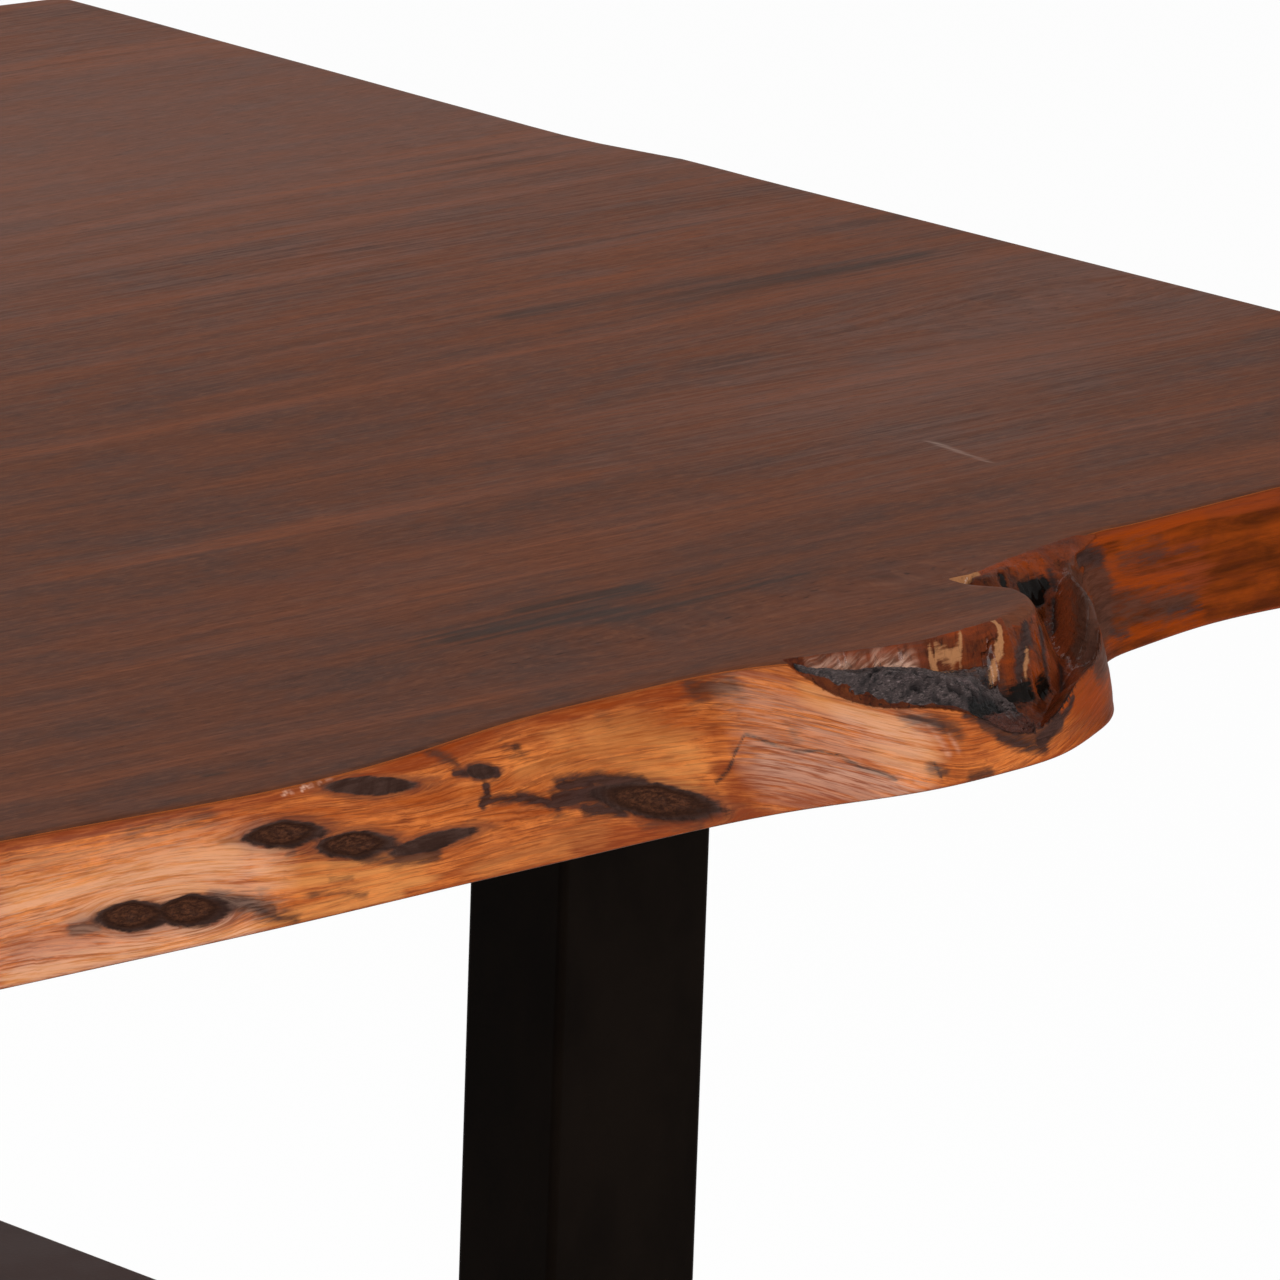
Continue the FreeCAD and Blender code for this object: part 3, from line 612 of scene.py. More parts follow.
# Each mark: radius, softness and strength, then the points of its line, in mm. The points were
# picked on the photo by eye and cast on to the slab through the camera by a separate script,
# and some were then changed by eye. On the natural edge they are (x, z).
EDGE_MARKS = {
    "stain": (
        (2.6, 2.5, 1.0, (178, 731), (190, 729), (203, 724)),
        (1.8, 2.5, 0.8, (196, 724), (205, 721), (213, 719)), (2.0, 2.0, 0.8, (119, 731), (129, 731)),
        (2.5, 3.0, 0.5, (199, 729), (209, 723)),
        (3.0, 1.8, 1.0, (534, 736), (544, 731.5), (553, 728), (563, 726.5), (573, 729.5)),
        (1.0, 1.5, 0.6, (213, 741), (216, 741)), (1.3, 2.0, 0.5, (221, 726), (245, 722)),
        (1.0, 1.5, 0.5, (230, 730), (240, 728)), (2.2, 4.0, 0.5, (152, 757), (184, 758)),
        (3.0, 2.0, 0.85, (262, 732), (279, 730)), (2.0, 2.0, 0.6, (245, 734), (262, 730)),
        (1.3, 2.0, 0.8, (287, 762), (293, 759), (301, 755)), (2.5, 3.0, 0.4, (328, 756), (334, 752)),
        (1.4, 2.0, 0.5, (336, 733), (346, 730)), (1.2, 2.0, 0.5, (374, 723), (402, 719)),
        (3.0, 4.0, 0.85, (424, 758), (442, 757)), (3.0, 5.0, 0.45, (420, 756), (435, 753)),
        (2.0, 3.0, 0.35, (376, 756), (380, 755)), (1.6, 3.0, 0.45, (455, 744), (455, 740)),
        (2.5, 3.0, 0.7, (500, 742), (511, 739), (520, 735)), (2.0, 2.0, 0.6, (504, 725), (510, 723)),
        (1.8, 2.0, 0.8, (522, 719), (532, 719)), (5.0, 4.0, 0.95, (667, 752), (664, 743), (656, 737)),
        (5.0, 4.0, 0.9, (656, 738), (632, 738), (614, 739)),
        (7.0, 7.0, 1.3, (679, 750), (684, 742), (680, 735)),
        (4.0, 7.0, 0.8, (692, 736), (714, 731), (739, 728)), (3.0, 5.0, 0.7, (685, 728), (696, 726)),
        (3.0, 6.0, 0.6, (702, 750), (724, 750))),
    "dark": (
        (1.4, 2.0, 0.9, (180, 731), (192, 728), (200, 724)), (0.8, 1.5, 0.7, (186, 728), (206, 721)),
        (2.0, 2.0, 0.8, (526, 740), (538, 735.5), (549, 730)), (1.2, 1.5, 0.8, (332, 754), (334, 754)),
        (1.0, 1.0, 0.9, (298, 752), (304, 751)), (2.0, 1.2, 0.95, (307, 751), (318, 749)),
        (1.6, 1.2, 0.95, (311, 746), (310, 743), (306, 741)), (1.3, 1.5, 0.9, (307, 742), (324, 740)),
        (1.8, 1.8, 0.95, (324, 740), (333, 738), (340, 735)), (1.5, 1.2, 0.9, (347, 741), (359, 739)),
        (2.7, 2.2, 1.0, (340, 737), (352, 736.5), (370, 734)), (2.2, 2.4, 0.9, (352, 732), (368, 729)),
        (1.9, 2.0, 0.95, (344, 740.5), (362, 740), (382, 736)),
        (0.9, 1.5, 0.8, (502, 742), (508, 740), (514, 737)), (0.7, 0.9, 0.7, (506, 726), (508, 721)),
        (2.0, 2.0, 0.8, (539, 730), (554, 724), (563, 722)),
        (2.4, 1.6, 1.0, (560, 725), (567, 727), (574, 730)),
        (1.3, 1.2, 1.0, (574, 730), (581, 732), (586, 735)),
        (3.2, 3.0, 0.8, (656, 758), (670, 757), (690, 753)), (1.2, 2.0, 0.6, (686, 727), (697, 723)),
        (1.2, 2.0, 0.6, (726, 727), (746, 725)), (1.0, 2.0, 0.5, (712, 748), (748, 747)),
        (0.5, 0.9, 0.95, *FLAKE)),
    "red": (
        (6.0, 9.0, 0.5, (290, 724), (420, 720)), (7.0, 9.0, 0.45, (290, 756), (440, 757)),
        (2.0, 3.0, 1.0, (428, 739), (441, 738), (452, 733), (468, 730), (486, 722)),
        (5.0, 4.0, 1.1, (420, 727), (438, 732), (458, 727), (474, 722)),
        (5.0, 7.0, 0.55, (356, 759), (383, 756)), (3.5, 3.0, 0.9, (417, 734), (427, 733)),
        (8.0, 9.0, 0.85, (431, 725), (448, 721), (484, 718)), (7.0, 8.0, 0.9, (425, 721), (345, 718)),
        (4.0, 6.0, 0.6, (423, 745), (420, 736)), (4.0, 6.0, 0.5, (512, 723), (560, 721)),
        (8.0, 8.0, 0.85, (690, 743), (745, 739))),
    # light: painted highlights and sheen where the lamps catch the edge, in places also the wood's paler tone
    "light": (
        (7.0, 9.0, 1.0, (100, 744), (188, 742)), (4.0, 6.0, 1.0, (132, 747), (154, 740), (174, 737)),
        (4.0, 4.0, 1.0, (90, 719), (260, 718)), (5.0, 7.0, 0.9, (200, 737), (217, 732), (271, 724)),
        (7.0, 9.0, 0.9, (368, 751), (390, 749), (408, 741)),
        (5.0, 8.0, 0.8, (353, 752), (369, 747), (404, 734)),
        (4.0, 6.0, 0.7, (330, 748), (349, 746), (366, 743)), (4.0, 6.0, 0.7, (298, 721), (355, 722)),
        (3.5, 4.0, 1.0, (468, 753), (476, 748), (487, 744), (498, 739)),
        (4.5, 6.0, 0.9, (486, 742), (497, 736), (505, 730)), (5.0, 7.0, 0.8, (486, 730), (504, 726))),
    # pale: the wide washes are painted sheen
    "pale": (
        (0.3, 0.5, 1.1, (216.5, 759.2), (218, 760)), (0.3, 0.5, 0.9, (219.5, 760), (220.5, 759.5)),
        (0.4, 0.5, 1.2, (225, 759.6), (226.5, 760.6)), (0.3, 0.5, 0.9, (228, 760), (230, 760.4)),
        (0.2, 0.5, 0.8, (233, 760.4), (234, 760.8)), (0.2, 0.5, 0.8, (237, 760.6), (239.5, 760.8)),
        (9.0, 10.0, 0.35, (446, 748), (459, 744), (472, 738)),
        (9.0, 10.0, 0.42, (80, 740), (170, 742), (200, 738)), (7.0, 6.0, 0.42, (80, 723), (190, 720)),
        (7.0, 8.0, 0.5, (478, 742), (500, 734)), (8.0, 9.0, 0.5, (440, 734), (492, 722)),
        (1.0, 1.5, 0.5, (508, 738), (511, 733), (513, 729)), (0.6, 1.0, 0.4, (516, 734), (518, 729))),
    "amber": (
        (8.0, 10.0, 0.5, (270, 747), (330, 742), (410, 752)), (7.0, 8.0, 1.0, (552, 737), (606, 730)),
        (6.0, 8.0, 0.6, (540, 722), (600, 721)), (4.0, 4.0, 0.9, (698, 743), (734, 736)),
        (4.0, 5.0, 0.8, (666, 759), (751, 758)), (4.0, 4.0, 0.8, (683, 723), (745, 721)),
        (2.0, 2.0, 0.8, (680, 751), (687, 750)))}
# In the burl pocket and on the top the points are (x, y).
POCKET_MARKS = {
    "red": (
        (5.0, 4.0, 1.0, (540, -545), (553, -545), (575, -536)), (6.0, 5.0, 1.0, (588, -530), (614, -509)),
        (6.0, 5.0, 1.0, (625, -496), (640, -482), (653, -466)), (5.0, 4.0, 0.9, (618, -512), (598, -529)),
        (2.2, 2.0, 1.0, (477, -507), (507, -516), (525, -519))),
    "stain": (
        (3.6, 4.0, 1.1, (671, -463), (659, -470), (643, -489), (630, -503)),
        (4.0, 4.0, 1.1, (625, -506), (622, -513), (611, -526)), (3.0, 3.0, 0.9, (547, -546), (561, -546)),
        (1.6, 2.0, 0.6, (472, -506), (507, -515), (525, -518))),
    "dark": (
        (2.0, 1.5, 1.0, (533, -544), (549, -546), (560, -546)), (3.4, 1.6, 1.0, (556, -548), (574, -543)),
        (1.3, 1.2, 1.0, (574, -543), (586, -537)), (2.2, 1.4, 0.95, (586, -511), (584, -515)),
        (1.5, 1.3, 0.95, (582, -517), (575, -521), (572, -524)), (1.1, 1.2, 0.9, (597, -510), (591, -520)),
        (1.2, 1.2, 0.9, (552, -522), (537, -532)), (1.0, 1.0, 0.8, (560, -521), (555, -522)),
        (1.6, 1.5, 0.8, (556, -525), (563, -526)), (1.0, 1.0, 0.8, (647, -469), (634, -482)),
        (1.2, 1.2, 0.8, (613, -506), (592, -527)), (1.6, 2.0, 0.8, (653, -461), (651, -466)),
        (0.8, 0.7, 1.0, (603, -464), (606, -465))),
    # hole: crevices, sunk into the surface, with painted shade in them
    "hole": (
        (2.2, 1.2, 1.0, (531, -541), (538, -540), (549, -535)), (1.2, 1.8, 0.9, (562, -527), (576, -526)),
        (1.0, 1.8, 0.9, (582, -525), (590, -521)), (2.6, 1.4, 1.0, (633, -468), (641, -466)),
        (1.4, 1.2, 0.9, (642, -465), (649, -463)), (1.2, 1.2, 0.9, (623, -465), (621, -468))),
    "tan": (
        (0.9, 0.8, 1.0, (529.5, -520.5), (532, -522.5)),
        (0.35, 0.6, 1.0, (532, -520), (539, -519.6), (545, -519.2)),
        (0.5, 0.7, 0.8, (545, -519.5), (547, -518)), (0.5, 0.8, 0.7, (533, -524), (541, -522)),
        (0.8, 0.7, 1.0, (564, -511), (568, -517), (567, -519)), (0.8, 0.8, 0.9, (567, -519), (563, -521)),
        (0.8, 0.8, 0.9, (561, -522), (558, -523)), (0.4, 0.8, 0.8, (582, -518), (575, -524)),
        (1.0, 0.8, 0.85, (595, -465), (602, -464)), (1.2, 1.0, 0.75, (604, -464), (611, -464))),
    # pale: painted sheen on the smooth strip above the bark and on the bark's sealed patches
    "pale": (
        (0.9, 1.4, 0.7, (477, -511), (490, -514), (500, -517)),
        (1.2, 1.6, 0.85, (504, -518), (512, -520), (521, -522)),
        (1.4, 1.5, 0.7, (521, -530), (530, -532), (538, -534)), (0.8, 1.0, 0.6, (505, -529), (514, -530)),
        (0.7, 0.8, 0.5, (609, -527), (612, -526))),
    "amber": (
        (4.0, 4.0, 0.5, (543, -519), (561, -519)), (4.0, 4.0, 0.6, (575, -515), (569, -520), (568, -523)),
        (3.0, 3.0, 0.8, (584, -520), (581, -523)), (3.0, 3.0, 0.6, (594, -510), (590, -515)),
        (3.0, 3.0, 0.9, (632, -461), (651, -458)), (2.5, 3.0, 0.9, (611, -463), (627, -460)))}
TOP_MARKS = {
    "stain": (
        (9.0, 9.0, 0.75, (395, -416), (443, -418), (464, -423)),
        (7.0, 7.0, 0.7, (442, -401), (467, -401), (494, -407)), (4.0, 5.0, 0.6, (380, -413), (406, -410)),
        (9.0, 9.0, 0.5, (474, -428), (539, -424)), (3.0, 4.0, 0.5, (516, -415), (556, -427), (584, -451)),
        (6.0, 8.0, 0.45, (499, -464), (545, -463), (582, -473)), (2.0, 2.5, 0.6, (529, -514), (542, -514)),
        (8.0, 12.0, 0.75, (755, -68), (860, -76), (967, -84)), (5.0, 8.0, 0.6, (713, 150), (965, 156)),
        (1.5, 2.0, 0.6, (205, -497), (212, -497))),
    "red": ((12.0, 25.0, 0.8, (755, 60), (830, 66)), (5.0, 10.0, 0.6, (300, -330), (480, -322))),
    "pale": ((1.0, 0.8, 1.2, (740, -315), (737, -333)), (0.7, 0.8, 1.0, (737, -333), (735, -349))),
    # light: painted sheen, a broad lighter wash over the back half and towards the right end
    "light": (
        (7.0, 14.0, 0.6, (340, -258), (660, -258)), (6.0, 12.0, 0.5, (560, -190), (900, -175)),
        (200.0, 280.0, 1.0, (-1000, 270), (1000, 270)), (60.0, 150.0, 0.9, (760, -260), (1000, -160)),
        (2.0, 4.0, 0.9, (930, -215), (985, -190), (992, -168), (960, -150)))}
CHANNELS = {"marks_a": ("dark", "stain", "red", "light"), "marks_b": ("tan", "pale", "amber", "hole")}


def mark_value(u, v, radius, soft, strength, points):
    """Share of a mark at points of its plane: full inside, half at its radius, none beyond."""
    points = [tuple(map(float, p)) for p in points]
    reach = radius + soft
    low, high = np.min(points, axis=0) - reach, np.max(points, axis=0) + reach
    near = (u > low[0]) & (u < high[0]) & (v > low[1]) & (v < high[1])
    value = np.zeros(np.shape(u))
    if near.any():
        gap = to_polyline(u[near], v[near], points)[0]
        value[near] = strength * np.clip(0.5 + (radius - gap) / (2 * soft), 0, 1)
    return value


def strongest(u, v, marks, kind):
    """Largest share of one kind of mark at points of its plane."""
    found = np.zeros(np.shape(u))
    for radius, soft, strength, *points in marks.get(kind, ()):
        found = np.maximum(found, mark_value(u, v, radius, soft, strength, points))
    return found


def paint(mesh, groups, extra=None):
    """Stores the marks. groups: (mask of vertices, plane coordinates, marks)."""
    for name, kinds in CHANNELS.items():
        values = np.zeros((len(mesh.vertices), 4))
        for mask, u, v, marks in groups:
            for i, kind in enumerate(kinds):
                found = strongest(u[mask], v[mask], marks, kind)
                values[mask, i] = np.maximum(values[mask, i], found)
        if extra is not None:
            values = np.maximum(values, extra[name])
        store(mesh, name, "FLOAT_COLOR", values)


# ------------------------------------------------------------------ finishing the slab's mesh

SURFACE_COUNT = 5
TOP, EDGE, POCKET, END_GRAIN, UNDERSIDE = range(SURFACE_COUNT)


def read(collection, field, width, kind=float):
    values = np.empty(len(collection) * width, kind)
    collection.foreach_get(field, values)
    return values.reshape(-1, width) if width > 1 else values


def sort_faces(mesh):
    """Which surface of the slab each face belongs to, before the pocket is cut."""
    z = read(mesh.polygons, "center", 3)[:, 2] / MM
    normal = read(mesh.polygons, "normal", 3)
    kind = np.full(len(z), EDGE, np.int32)
    kind[z > SLAB_TOP - 0.55] = TOP
    kind[(z < SLAB_BOTTOM + 0.5) & (normal[:, 2] < -0.5)] = UNDERSIDE
    kind[np.abs(normal[:, 0]) > 0.85] = END_GRAIN
    mesh.polygons.foreach_set("material_index", kind)


TONGUE_ENDS, TONGUE_BACK, TOP_FINISH_ABOVE = (572, 606), -470, 758.2
MERGE_DISTANCE = 0.3
RIM_REACH, RIM_PASSES, NEAR_PASSES = 3, 8, 4


def soften_tongue(mesh):
    """The top's finish runs on over the rounded end of the tongue."""
    x, y, z = read(mesh.polygons, "center", 3).T / MM
    kind = read(mesh.polygons, "material_index", 1, np.int32)
    on_tongue = (x > TONGUE_ENDS[0]) & (x < TONGUE_ENDS[1]) & (y < TONGUE_BACK)
    kind[(kind == POCKET) & (z > TOP_FINISH_ABOVE) & on_tongue] = TOP
    mesh.polygons.foreach_set("material_index", kind)


def merge_rim(mesh):
    """Closes up the slivers that the cut leaves along the pocket's rim."""
    work = bmesh.new()
    work.from_mesh(mesh)
    rim = set()
    for vertex in work.verts:
        kinds = {face.material_index for face in vertex.link_faces}
        if POCKET in kinds and len(kinds) > 1:
            rim.add(vertex)
            rim.update(v for face in vertex.link_faces for v in face.verts)
    # in a fixed order, as a set has another order in each run
    in_order = sorted(rim, key=lambda vertex: vertex.index)
    bmesh.ops.remove_doubles(work, verts=in_order, dist=MERGE_DISTANCE * MM)
    work.to_mesh(mesh)
    work.free()


def average(points, pairs, count, moving):
    """Moves the chosen vertices halfway to the mean of their neighbours along the given edges."""
    total, number = np.zeros_like(points), np.zeros(count)
    for a, b in (pairs.T, pairs.T[::-1]):
        np.add.at(total, a, points[b])
        np.add.at(number, a, 1)
    chosen = moving & (number > 0)
    mean = total[chosen] / number[chosen][:, None]
    points[chosen] += 0.5 * (mean - points[chosen])


def smooth_rim(mesh):
    count = len(mesh.vertices)
    points = coordinates(mesh)
    edges = read(mesh.edges, "vertices", 2, np.int32)
    kind = read(mesh.polygons, "material_index", 1, np.int32)
    sizes = read(mesh.polygons, "loop_total", 1, np.int32)
    loop_kind = np.repeat(kind == POCKET, sizes)
    loop_edge = read(mesh.loops, "edge_index", 1, np.int32)
    carved, plain_side = np.zeros(len(edges), bool), np.zeros(len(edges), bool)
    carved[loop_edge[loop_kind]] = True
    plain_side[loop_edge[~loop_kind]] = True
    rim_edges = edges[carved & plain_side]
    on_rim = np.zeros(count, bool)
    on_rim[rim_edges.ravel()] = True
    near = on_rim.copy()
    for _ in range(RIM_REACH):
        near[edges[near[edges].any(1)].ravel()] = True
    for _ in range(RIM_PASSES):
        average(points, rim_edges, count, on_rim)
    for _ in range(NEAR_PASSES):
        average(points, edges, count, near & ~on_rim)
    mesh.vertices.foreach_set("co", points.ravel())
    mesh.update()


# ------------------------------------------------------------------ grain and marks of the slab

# Swirls in the grain of the top: x, y, half length, half width, how far they push it
TOP_EYES = (
    (452, -452, 52, 15, 1.0), (600, -452, 34, 16, 1.0), (964, -177, 55, 24, 1.0), (140, 60, 90, 20, 0.8),
    (-260, -300, 70, 18, 1.0), (-480, 180, 110, 26, 0.9), (-760, -120, 80, 22, 1.0), (330, 330, 90, 22, 0.8),
    (-60, 380, 60, 16, 0.9), (720, 300, 70, 20, 0.8), (-820, 330, 60, 18, 0.9), (-600, -380, 66, 18, 0.9))


def top_grain(x, y):
    """Line that the grain follows across the top, as the y where it would lie if undisturbed."""
    across = y + 9 * noise(x / 420.0, y / 160.0, 51.0) + 2.0 * noise(x / 120.0, y / 40.0, 53.0)
    for cx, cy, a, b, force in TOP_EYES:
        u, w = (x - cx) / a, (y - cy) / b
        r = np.sqrt(u ** 2 + w ** 2)
        across = across - force * (y - cy) * np.exp(-(r / 2.2) ** 2) * 0.75
    return across


def ease(distance, width=9.0):
    """Zero before a bend and the distance after it, with a soft turn between."""
    return width * np.logaddexp(0, distance / width)


def front_grain(x, z):
    """The same for the front edge: the grain runs down beside the pocket. With it the ring value."""
    _, _, ring, push = knot_fields(x, z, FRONT_KNOTS)
    across = z + 0.8 * push + 0.32 * (ease(x - 432) - ease(x - 522)) - 0.18 * (ease(x - 530) - ease(x - 640))
    return across + 1.3 * noise(x / 60.0, z / 20.0, 61.0), ring


def back_grain(x, z):
    _, _, ring, push = knot_fields(x, z, BACK_KNOTS)
    return z + 0.8 * push + 1.3 * noise(x / 60.0, z / 20.0, 63.0), ring


def store_surface(mesh, across, ring, tone, wet, third):
    """Attributes read by the wood's materials: grain, ring value, darkening and share of resin."""
    points = coordinates(mesh) / MM
    store(mesh, "grain", "FLOAT_VECTOR", np.stack([points[:, 0], across, third], 1))
    store(mesh, "ring", "FLOAT", ring)
    store(mesh, "tone", "FLOAT", tone)
    store(mesh, "wet", "FLOAT", wet)


def dress_slab(mesh):
    points = coordinates(mesh) / MM
    x, y, z = points.T
    count = len(points)
    kind = read(mesh.polygons, "material_index", 1, np.int32)
    sizes = read(mesh.polygons, "loop_total", 1, np.int32)
    corners = read(mesh.loops, "vertex_index", 1, np.int32)
    member = np.zeros((SURFACE_COUNT, count), bool)
    for surface in range(SURFACE_COUNT):
        member[surface, corners[np.repeat(kind == surface, sizes)]] = True
    carved = member[POCKET]
    top = member[TOP] & ~carved
    front = member[EDGE] & ~member[TOP] & ~carved & (y < 0)
    back = member[EDGE] & ~member[TOP] & ~carved & (y > 0)
    across, ring, tone = top_grain(x, y), np.full(count, NO_KNOT), np.zeros(count)
    third = np.zeros(count)
    across[front], ring[front] = front_grain(x[front], z[front])
    across[back], ring[back] = back_grain(x[back], z[back])
    side = front | back
    third[side] = 400 + 0.3 * y[side]
    third[carved] = z[carved]
    # the lobe beside the pocket takes the burl's deep colour: partly the wood's own colour, partly painted
    # shade where it turns away from the lamps
    tone[front] = smooth(548, 600, x[front] + 0.8 * (z[front] - 740)) * smooth(900, 800, x[front])
    tone[carved] = 1.0
    to_rim = to_polyline(x[carved], y[carved], RIM[:, :2])[0]
    wet = np.zeros(count)
    wet[carved] = 1 - smooth(608, 640, x[carved]) * smooth(9.0, 0.0, to_rim)
    store_surface(mesh, across, ring, tone, wet, third)
    strip = np.zeros((count, 4))
    # a darker line of stain runs along the edges just under the top, and a thin one at the bottom
    lowest = 756.2 - 3.2 * smooth(180, 320, x)
    under = smooth(lowest, 759.5, z) * side * (0.95 + 0.9 * noise(x / 45.0, z / 9.0, 71.0))
    strip[:, 2] = np.clip(under, 0, 1.2) + 0.8 * smooth(719.8, 717.6, z) * side
    glow = np.zeros((count, 4))
    glow[:, 2] = np.clip(under, 0, 1.2) * smooth(180, 320, x) * 0.48
    rim = carved & (z > SLAB_TOP - 5)
    strip[:, 2] = np.maximum(strip[:, 2], rim * 0.6)
    paint(mesh, ((front, x, z, EDGE_MARKS), (carved, x, y, POCKET_MARKS), (top, x, y, TOP_MARKS)),
          {"marks_a": strip, "marks_b": glow})


def dress_piece(mesh, raised):
    """raised: a grid of how far each point stands up, for the bark, or nothing."""
    points = coordinates(mesh) / MM
    x, y, z = points.T
    count = len(points)
    ring = np.full(count, NO_KNOT) if raised is None else sample(raised, x, y)
    store_surface(mesh, y, ring, np.ones(count), np.ones(count), z)
    paint(mesh, ((np.ones(count, bool), x, y, POCKET_MARKS),))


# ------------------------------------------------------------------ materials

class Shader:
    """Short way to lay down a material's nodes. Values may be sockets, numbers or colours."""

    def __init__(self, name):
        self.material = bpy.data.materials.new(name)
        self.material.use_nodes = True
        self.tree = self.material.node_tree
        self.surface = self.tree.nodes["Principled BSDF"]
        self.places = self.tree.nodes.new("ShaderNodeTexCoord")
        self.marks = {}

    def put(self, value, socket):
        if isinstance(value, bpy.types.NodeSocket):
            self.tree.links.new(value, socket)
        elif isinstance(value, tuple) and len(socket.default_value) == 4:
            socket.default_value = (*value, 1)
        else:
            socket.default_value = value

    def node(self, kind, output, inputs, **settings):
        node = self.tree.nodes.new(kind)
        for name, value in settings.items():
            setattr(node, name, value)
        for name, value in inputs.items():
            self.put(value, node.inputs[name])
        return node.outputs[output]

    def math(self, operation, a, b=0.0, c=0.0):
        return self.node("ShaderNodeMath", 0, {0: a, 1: b, 2: c}, operation=operation)

    def add(self, a, b):
        return self.math("ADD", a, b)

    def times(self, a, b):
        return self.math("MULTIPLY", a, b)

    def stretch(self, vector, sizes, shift=(0.0, 0.0, 0.0)):
        """Divides a vector by sizes, so that one step of noise is that long."""
        scale = tuple(1 / size for size in sizes)
        return self.node("ShaderNodeVectorMath", 0, {0: vector, 1: scale, 2: shift}, operation="MULTIPLY_ADD")

    def noise(self, vector, detail=2.0, rough=0.5, distortion=0.0):
        return self.node("ShaderNodeTexNoise", "Fac", {"Vector": vector, "Scale": 1.0, "Detail": detail,
                                                       "Roughness": rough, "Distortion": distortion})

    def between(self, value, low, high, start=0.0, end=1.0):
        return self.node("ShaderNodeMapRange", "Result", {"Value": value, "From Min": low, "From Max": high,
                                                          "To Min": start, "To Max": end},
                         interpolation_type="SMOOTHSTEP")

    def pattern(self, vector, sizes, low, high, detail=2.0, rough=0.5, distortion=0.0, shift=(0.0, 0.0, 0.0)):
        """Noise of the given sizes, as a share that rises where the noise goes from low to high."""
        noise = self.noise(self.stretch(vector, sizes, shift), detail, rough, distortion)
        return self.between(noise, low, high)

    def object_mm(self):
        """Places on the object in mm."""
        inputs = {0: self.places.outputs["Object"], 1: (1000.0, 1000.0, 1000.0)}
        return self.node("ShaderNodeVectorMath", 0, inputs, operation="MULTIPLY")

    def mix(self, share, a, b):
        node = self.tree.nodes.new("ShaderNodeMix")
        node.data_type = "RGBA"
        self.put(share, node.inputs[0])
        self.put(a, node.inputs[6])
        self.put(b, node.inputs[7])
        return node.outputs[2]

    def attribute(self, name, output="Fac"):
        return self.node("ShaderNodeAttribute", output, {}, attribute_name=name)

    def layers(self, color, *layers):
        """Lays tints over a colour. Each layer: the pattern that shows it, its strength, its tint."""
        for share, strength, tint in layers:
            color = self.mix(self.times(share, strength), color, tint)
        return color

    def mark(self, kind):
        """Share of one kind of the stored marks."""
        name = next(name for name, kinds in CHANNELS.items() if kind in kinds)
        if name not in self.marks:
            node = self.tree.nodes.new("ShaderNodeAttribute")
            node.attribute_name = name
            split = self.tree.nodes.new("ShaderNodeSeparateColor")
            self.tree.links.new(node.outputs["Color"], split.inputs[0])
            self.marks[name] = (*split.outputs[:3], node.outputs["Alpha"])
        return self.marks[name][CHANNELS[name].index(kind)]

    def broken(self, mark, streaks, gain=2.2):
        """A mark whose soft border is broken up by a 0 to 1 pattern."""
        lifted = self.math("MULTIPLY_ADD", self.math("SUBTRACT", 1.0, streaks), -0.5, mark)
        return self.node("ShaderNodeClamp", 0, {"Value": self.times(lifted, gain)})

    def bump(self, height, distance):
        return self.node("ShaderNodeBump", 0, {"Height": height, "Distance": distance, "Strength": 1.0})

    def finish(self, color, rough, normal, **fixed):
        self.put(color, self.surface.inputs["Base Color"])
        self.put(rough, self.surface.inputs["Roughness"])
        self.put(normal, self.surface.inputs["Normal"])
        for name, value in fixed.items():
            self.surface.inputs[name.replace("_", " ")].default_value = value
        return self.material


def top_wood():
    """Dark walnut stain under satin lacquer, with streaks, pores and soft figure."""
    s = Shader("table_top_wood")
    grain = s.attribute("grain", "Vector")
    wide = s.pattern(grain, (620, 46, 50), 0.36, 0.64, 3.0)
    figure = s.pattern(grain, (760, 15, 50), 0.38, 0.62, 5.0, 0.62, 0.3, shift=(7, 9, 3))
    band = s.pattern(grain, (340, 7.0, 50), 0.34, 0.66, 4.0, 0.6, shift=(5, 3, 1))
    streak = s.pattern(grain, (90, 2.2, 20), 0.34, 0.66, 3.0, 0.6, shift=(9, 1, 4))
    fibre = s.pattern(grain, (14, 0.7, 5), 0.3, 0.7, 2.0, shift=(2, 7, 5))
    pores = s.pattern(grain, (7.5, 0.6, 3), 0.62, 0.74, 1.0, shift=(4, 8, 2))
    cloud = s.pattern(grain, (60, 24, 30), 0.35, 0.65, 4.0, 0.65, shift=(3, 5, 7))
    fleck = s.pattern(grain, (9, 2.2, 5), 0.46, 0.68, 4.0, 0.7, shift=(6, 4, 1))
    blot = s.pattern(grain, (13, 3.0, 6), 0.50, 0.72, 4.0, 0.7, shift=(1, 9, 5))
    color = s.mix(wide, (0.094, 0.036, 0.022), (0.190, 0.060, 0.028))
    color = s.layers(
        color,
        (figure, 0.72, (0.064, 0.029, 0.020)),
        (band, 0.45, (0.060, 0.025, 0.016)),
        (cloud, 0.42, (0.200, 0.062, 0.026)),
        (streak, 0.30, (0.056, 0.019, 0.011)),
        (fleck, 0.32, (0.215, 0.078, 0.038)),
        (blot, 0.30, (0.040, 0.019, 0.014)),
        (s.broken(s.mark("red"), streak), 0.50, (0.165, 0.050, 0.026)),
        # painted sheen: the light marks lighten the top
        (s.broken(s.mark("light"), streak), 0.36, (0.215, 0.112, 0.086)),
        (s.broken(s.mark("stain"), band), 0.66, (0.030, 0.022, 0.018)),
        (fibre, 0.16, (0.034, 0.015, 0.011)))
    color = s.mix(s.times(pores, s.between(streak, 0, 1, 0.25, 0.65)), color, (0.020, 0.010, 0.008))
    color = s.mix(s.times(s.mark("pale"), 0.55), color, (0.330, 0.220, 0.180))
    height = s.add(s.times(pores, -0.6), s.times(fibre, 0.25))
    rough = s.between(s.add(s.times(fibre, 0.5), s.times(cloud, 0.5)), 0, 1, 0.42, 0.54)
    return s.finish(color, rough, s.bump(height, 0.00006), Specular_IOR_Level=0.008)


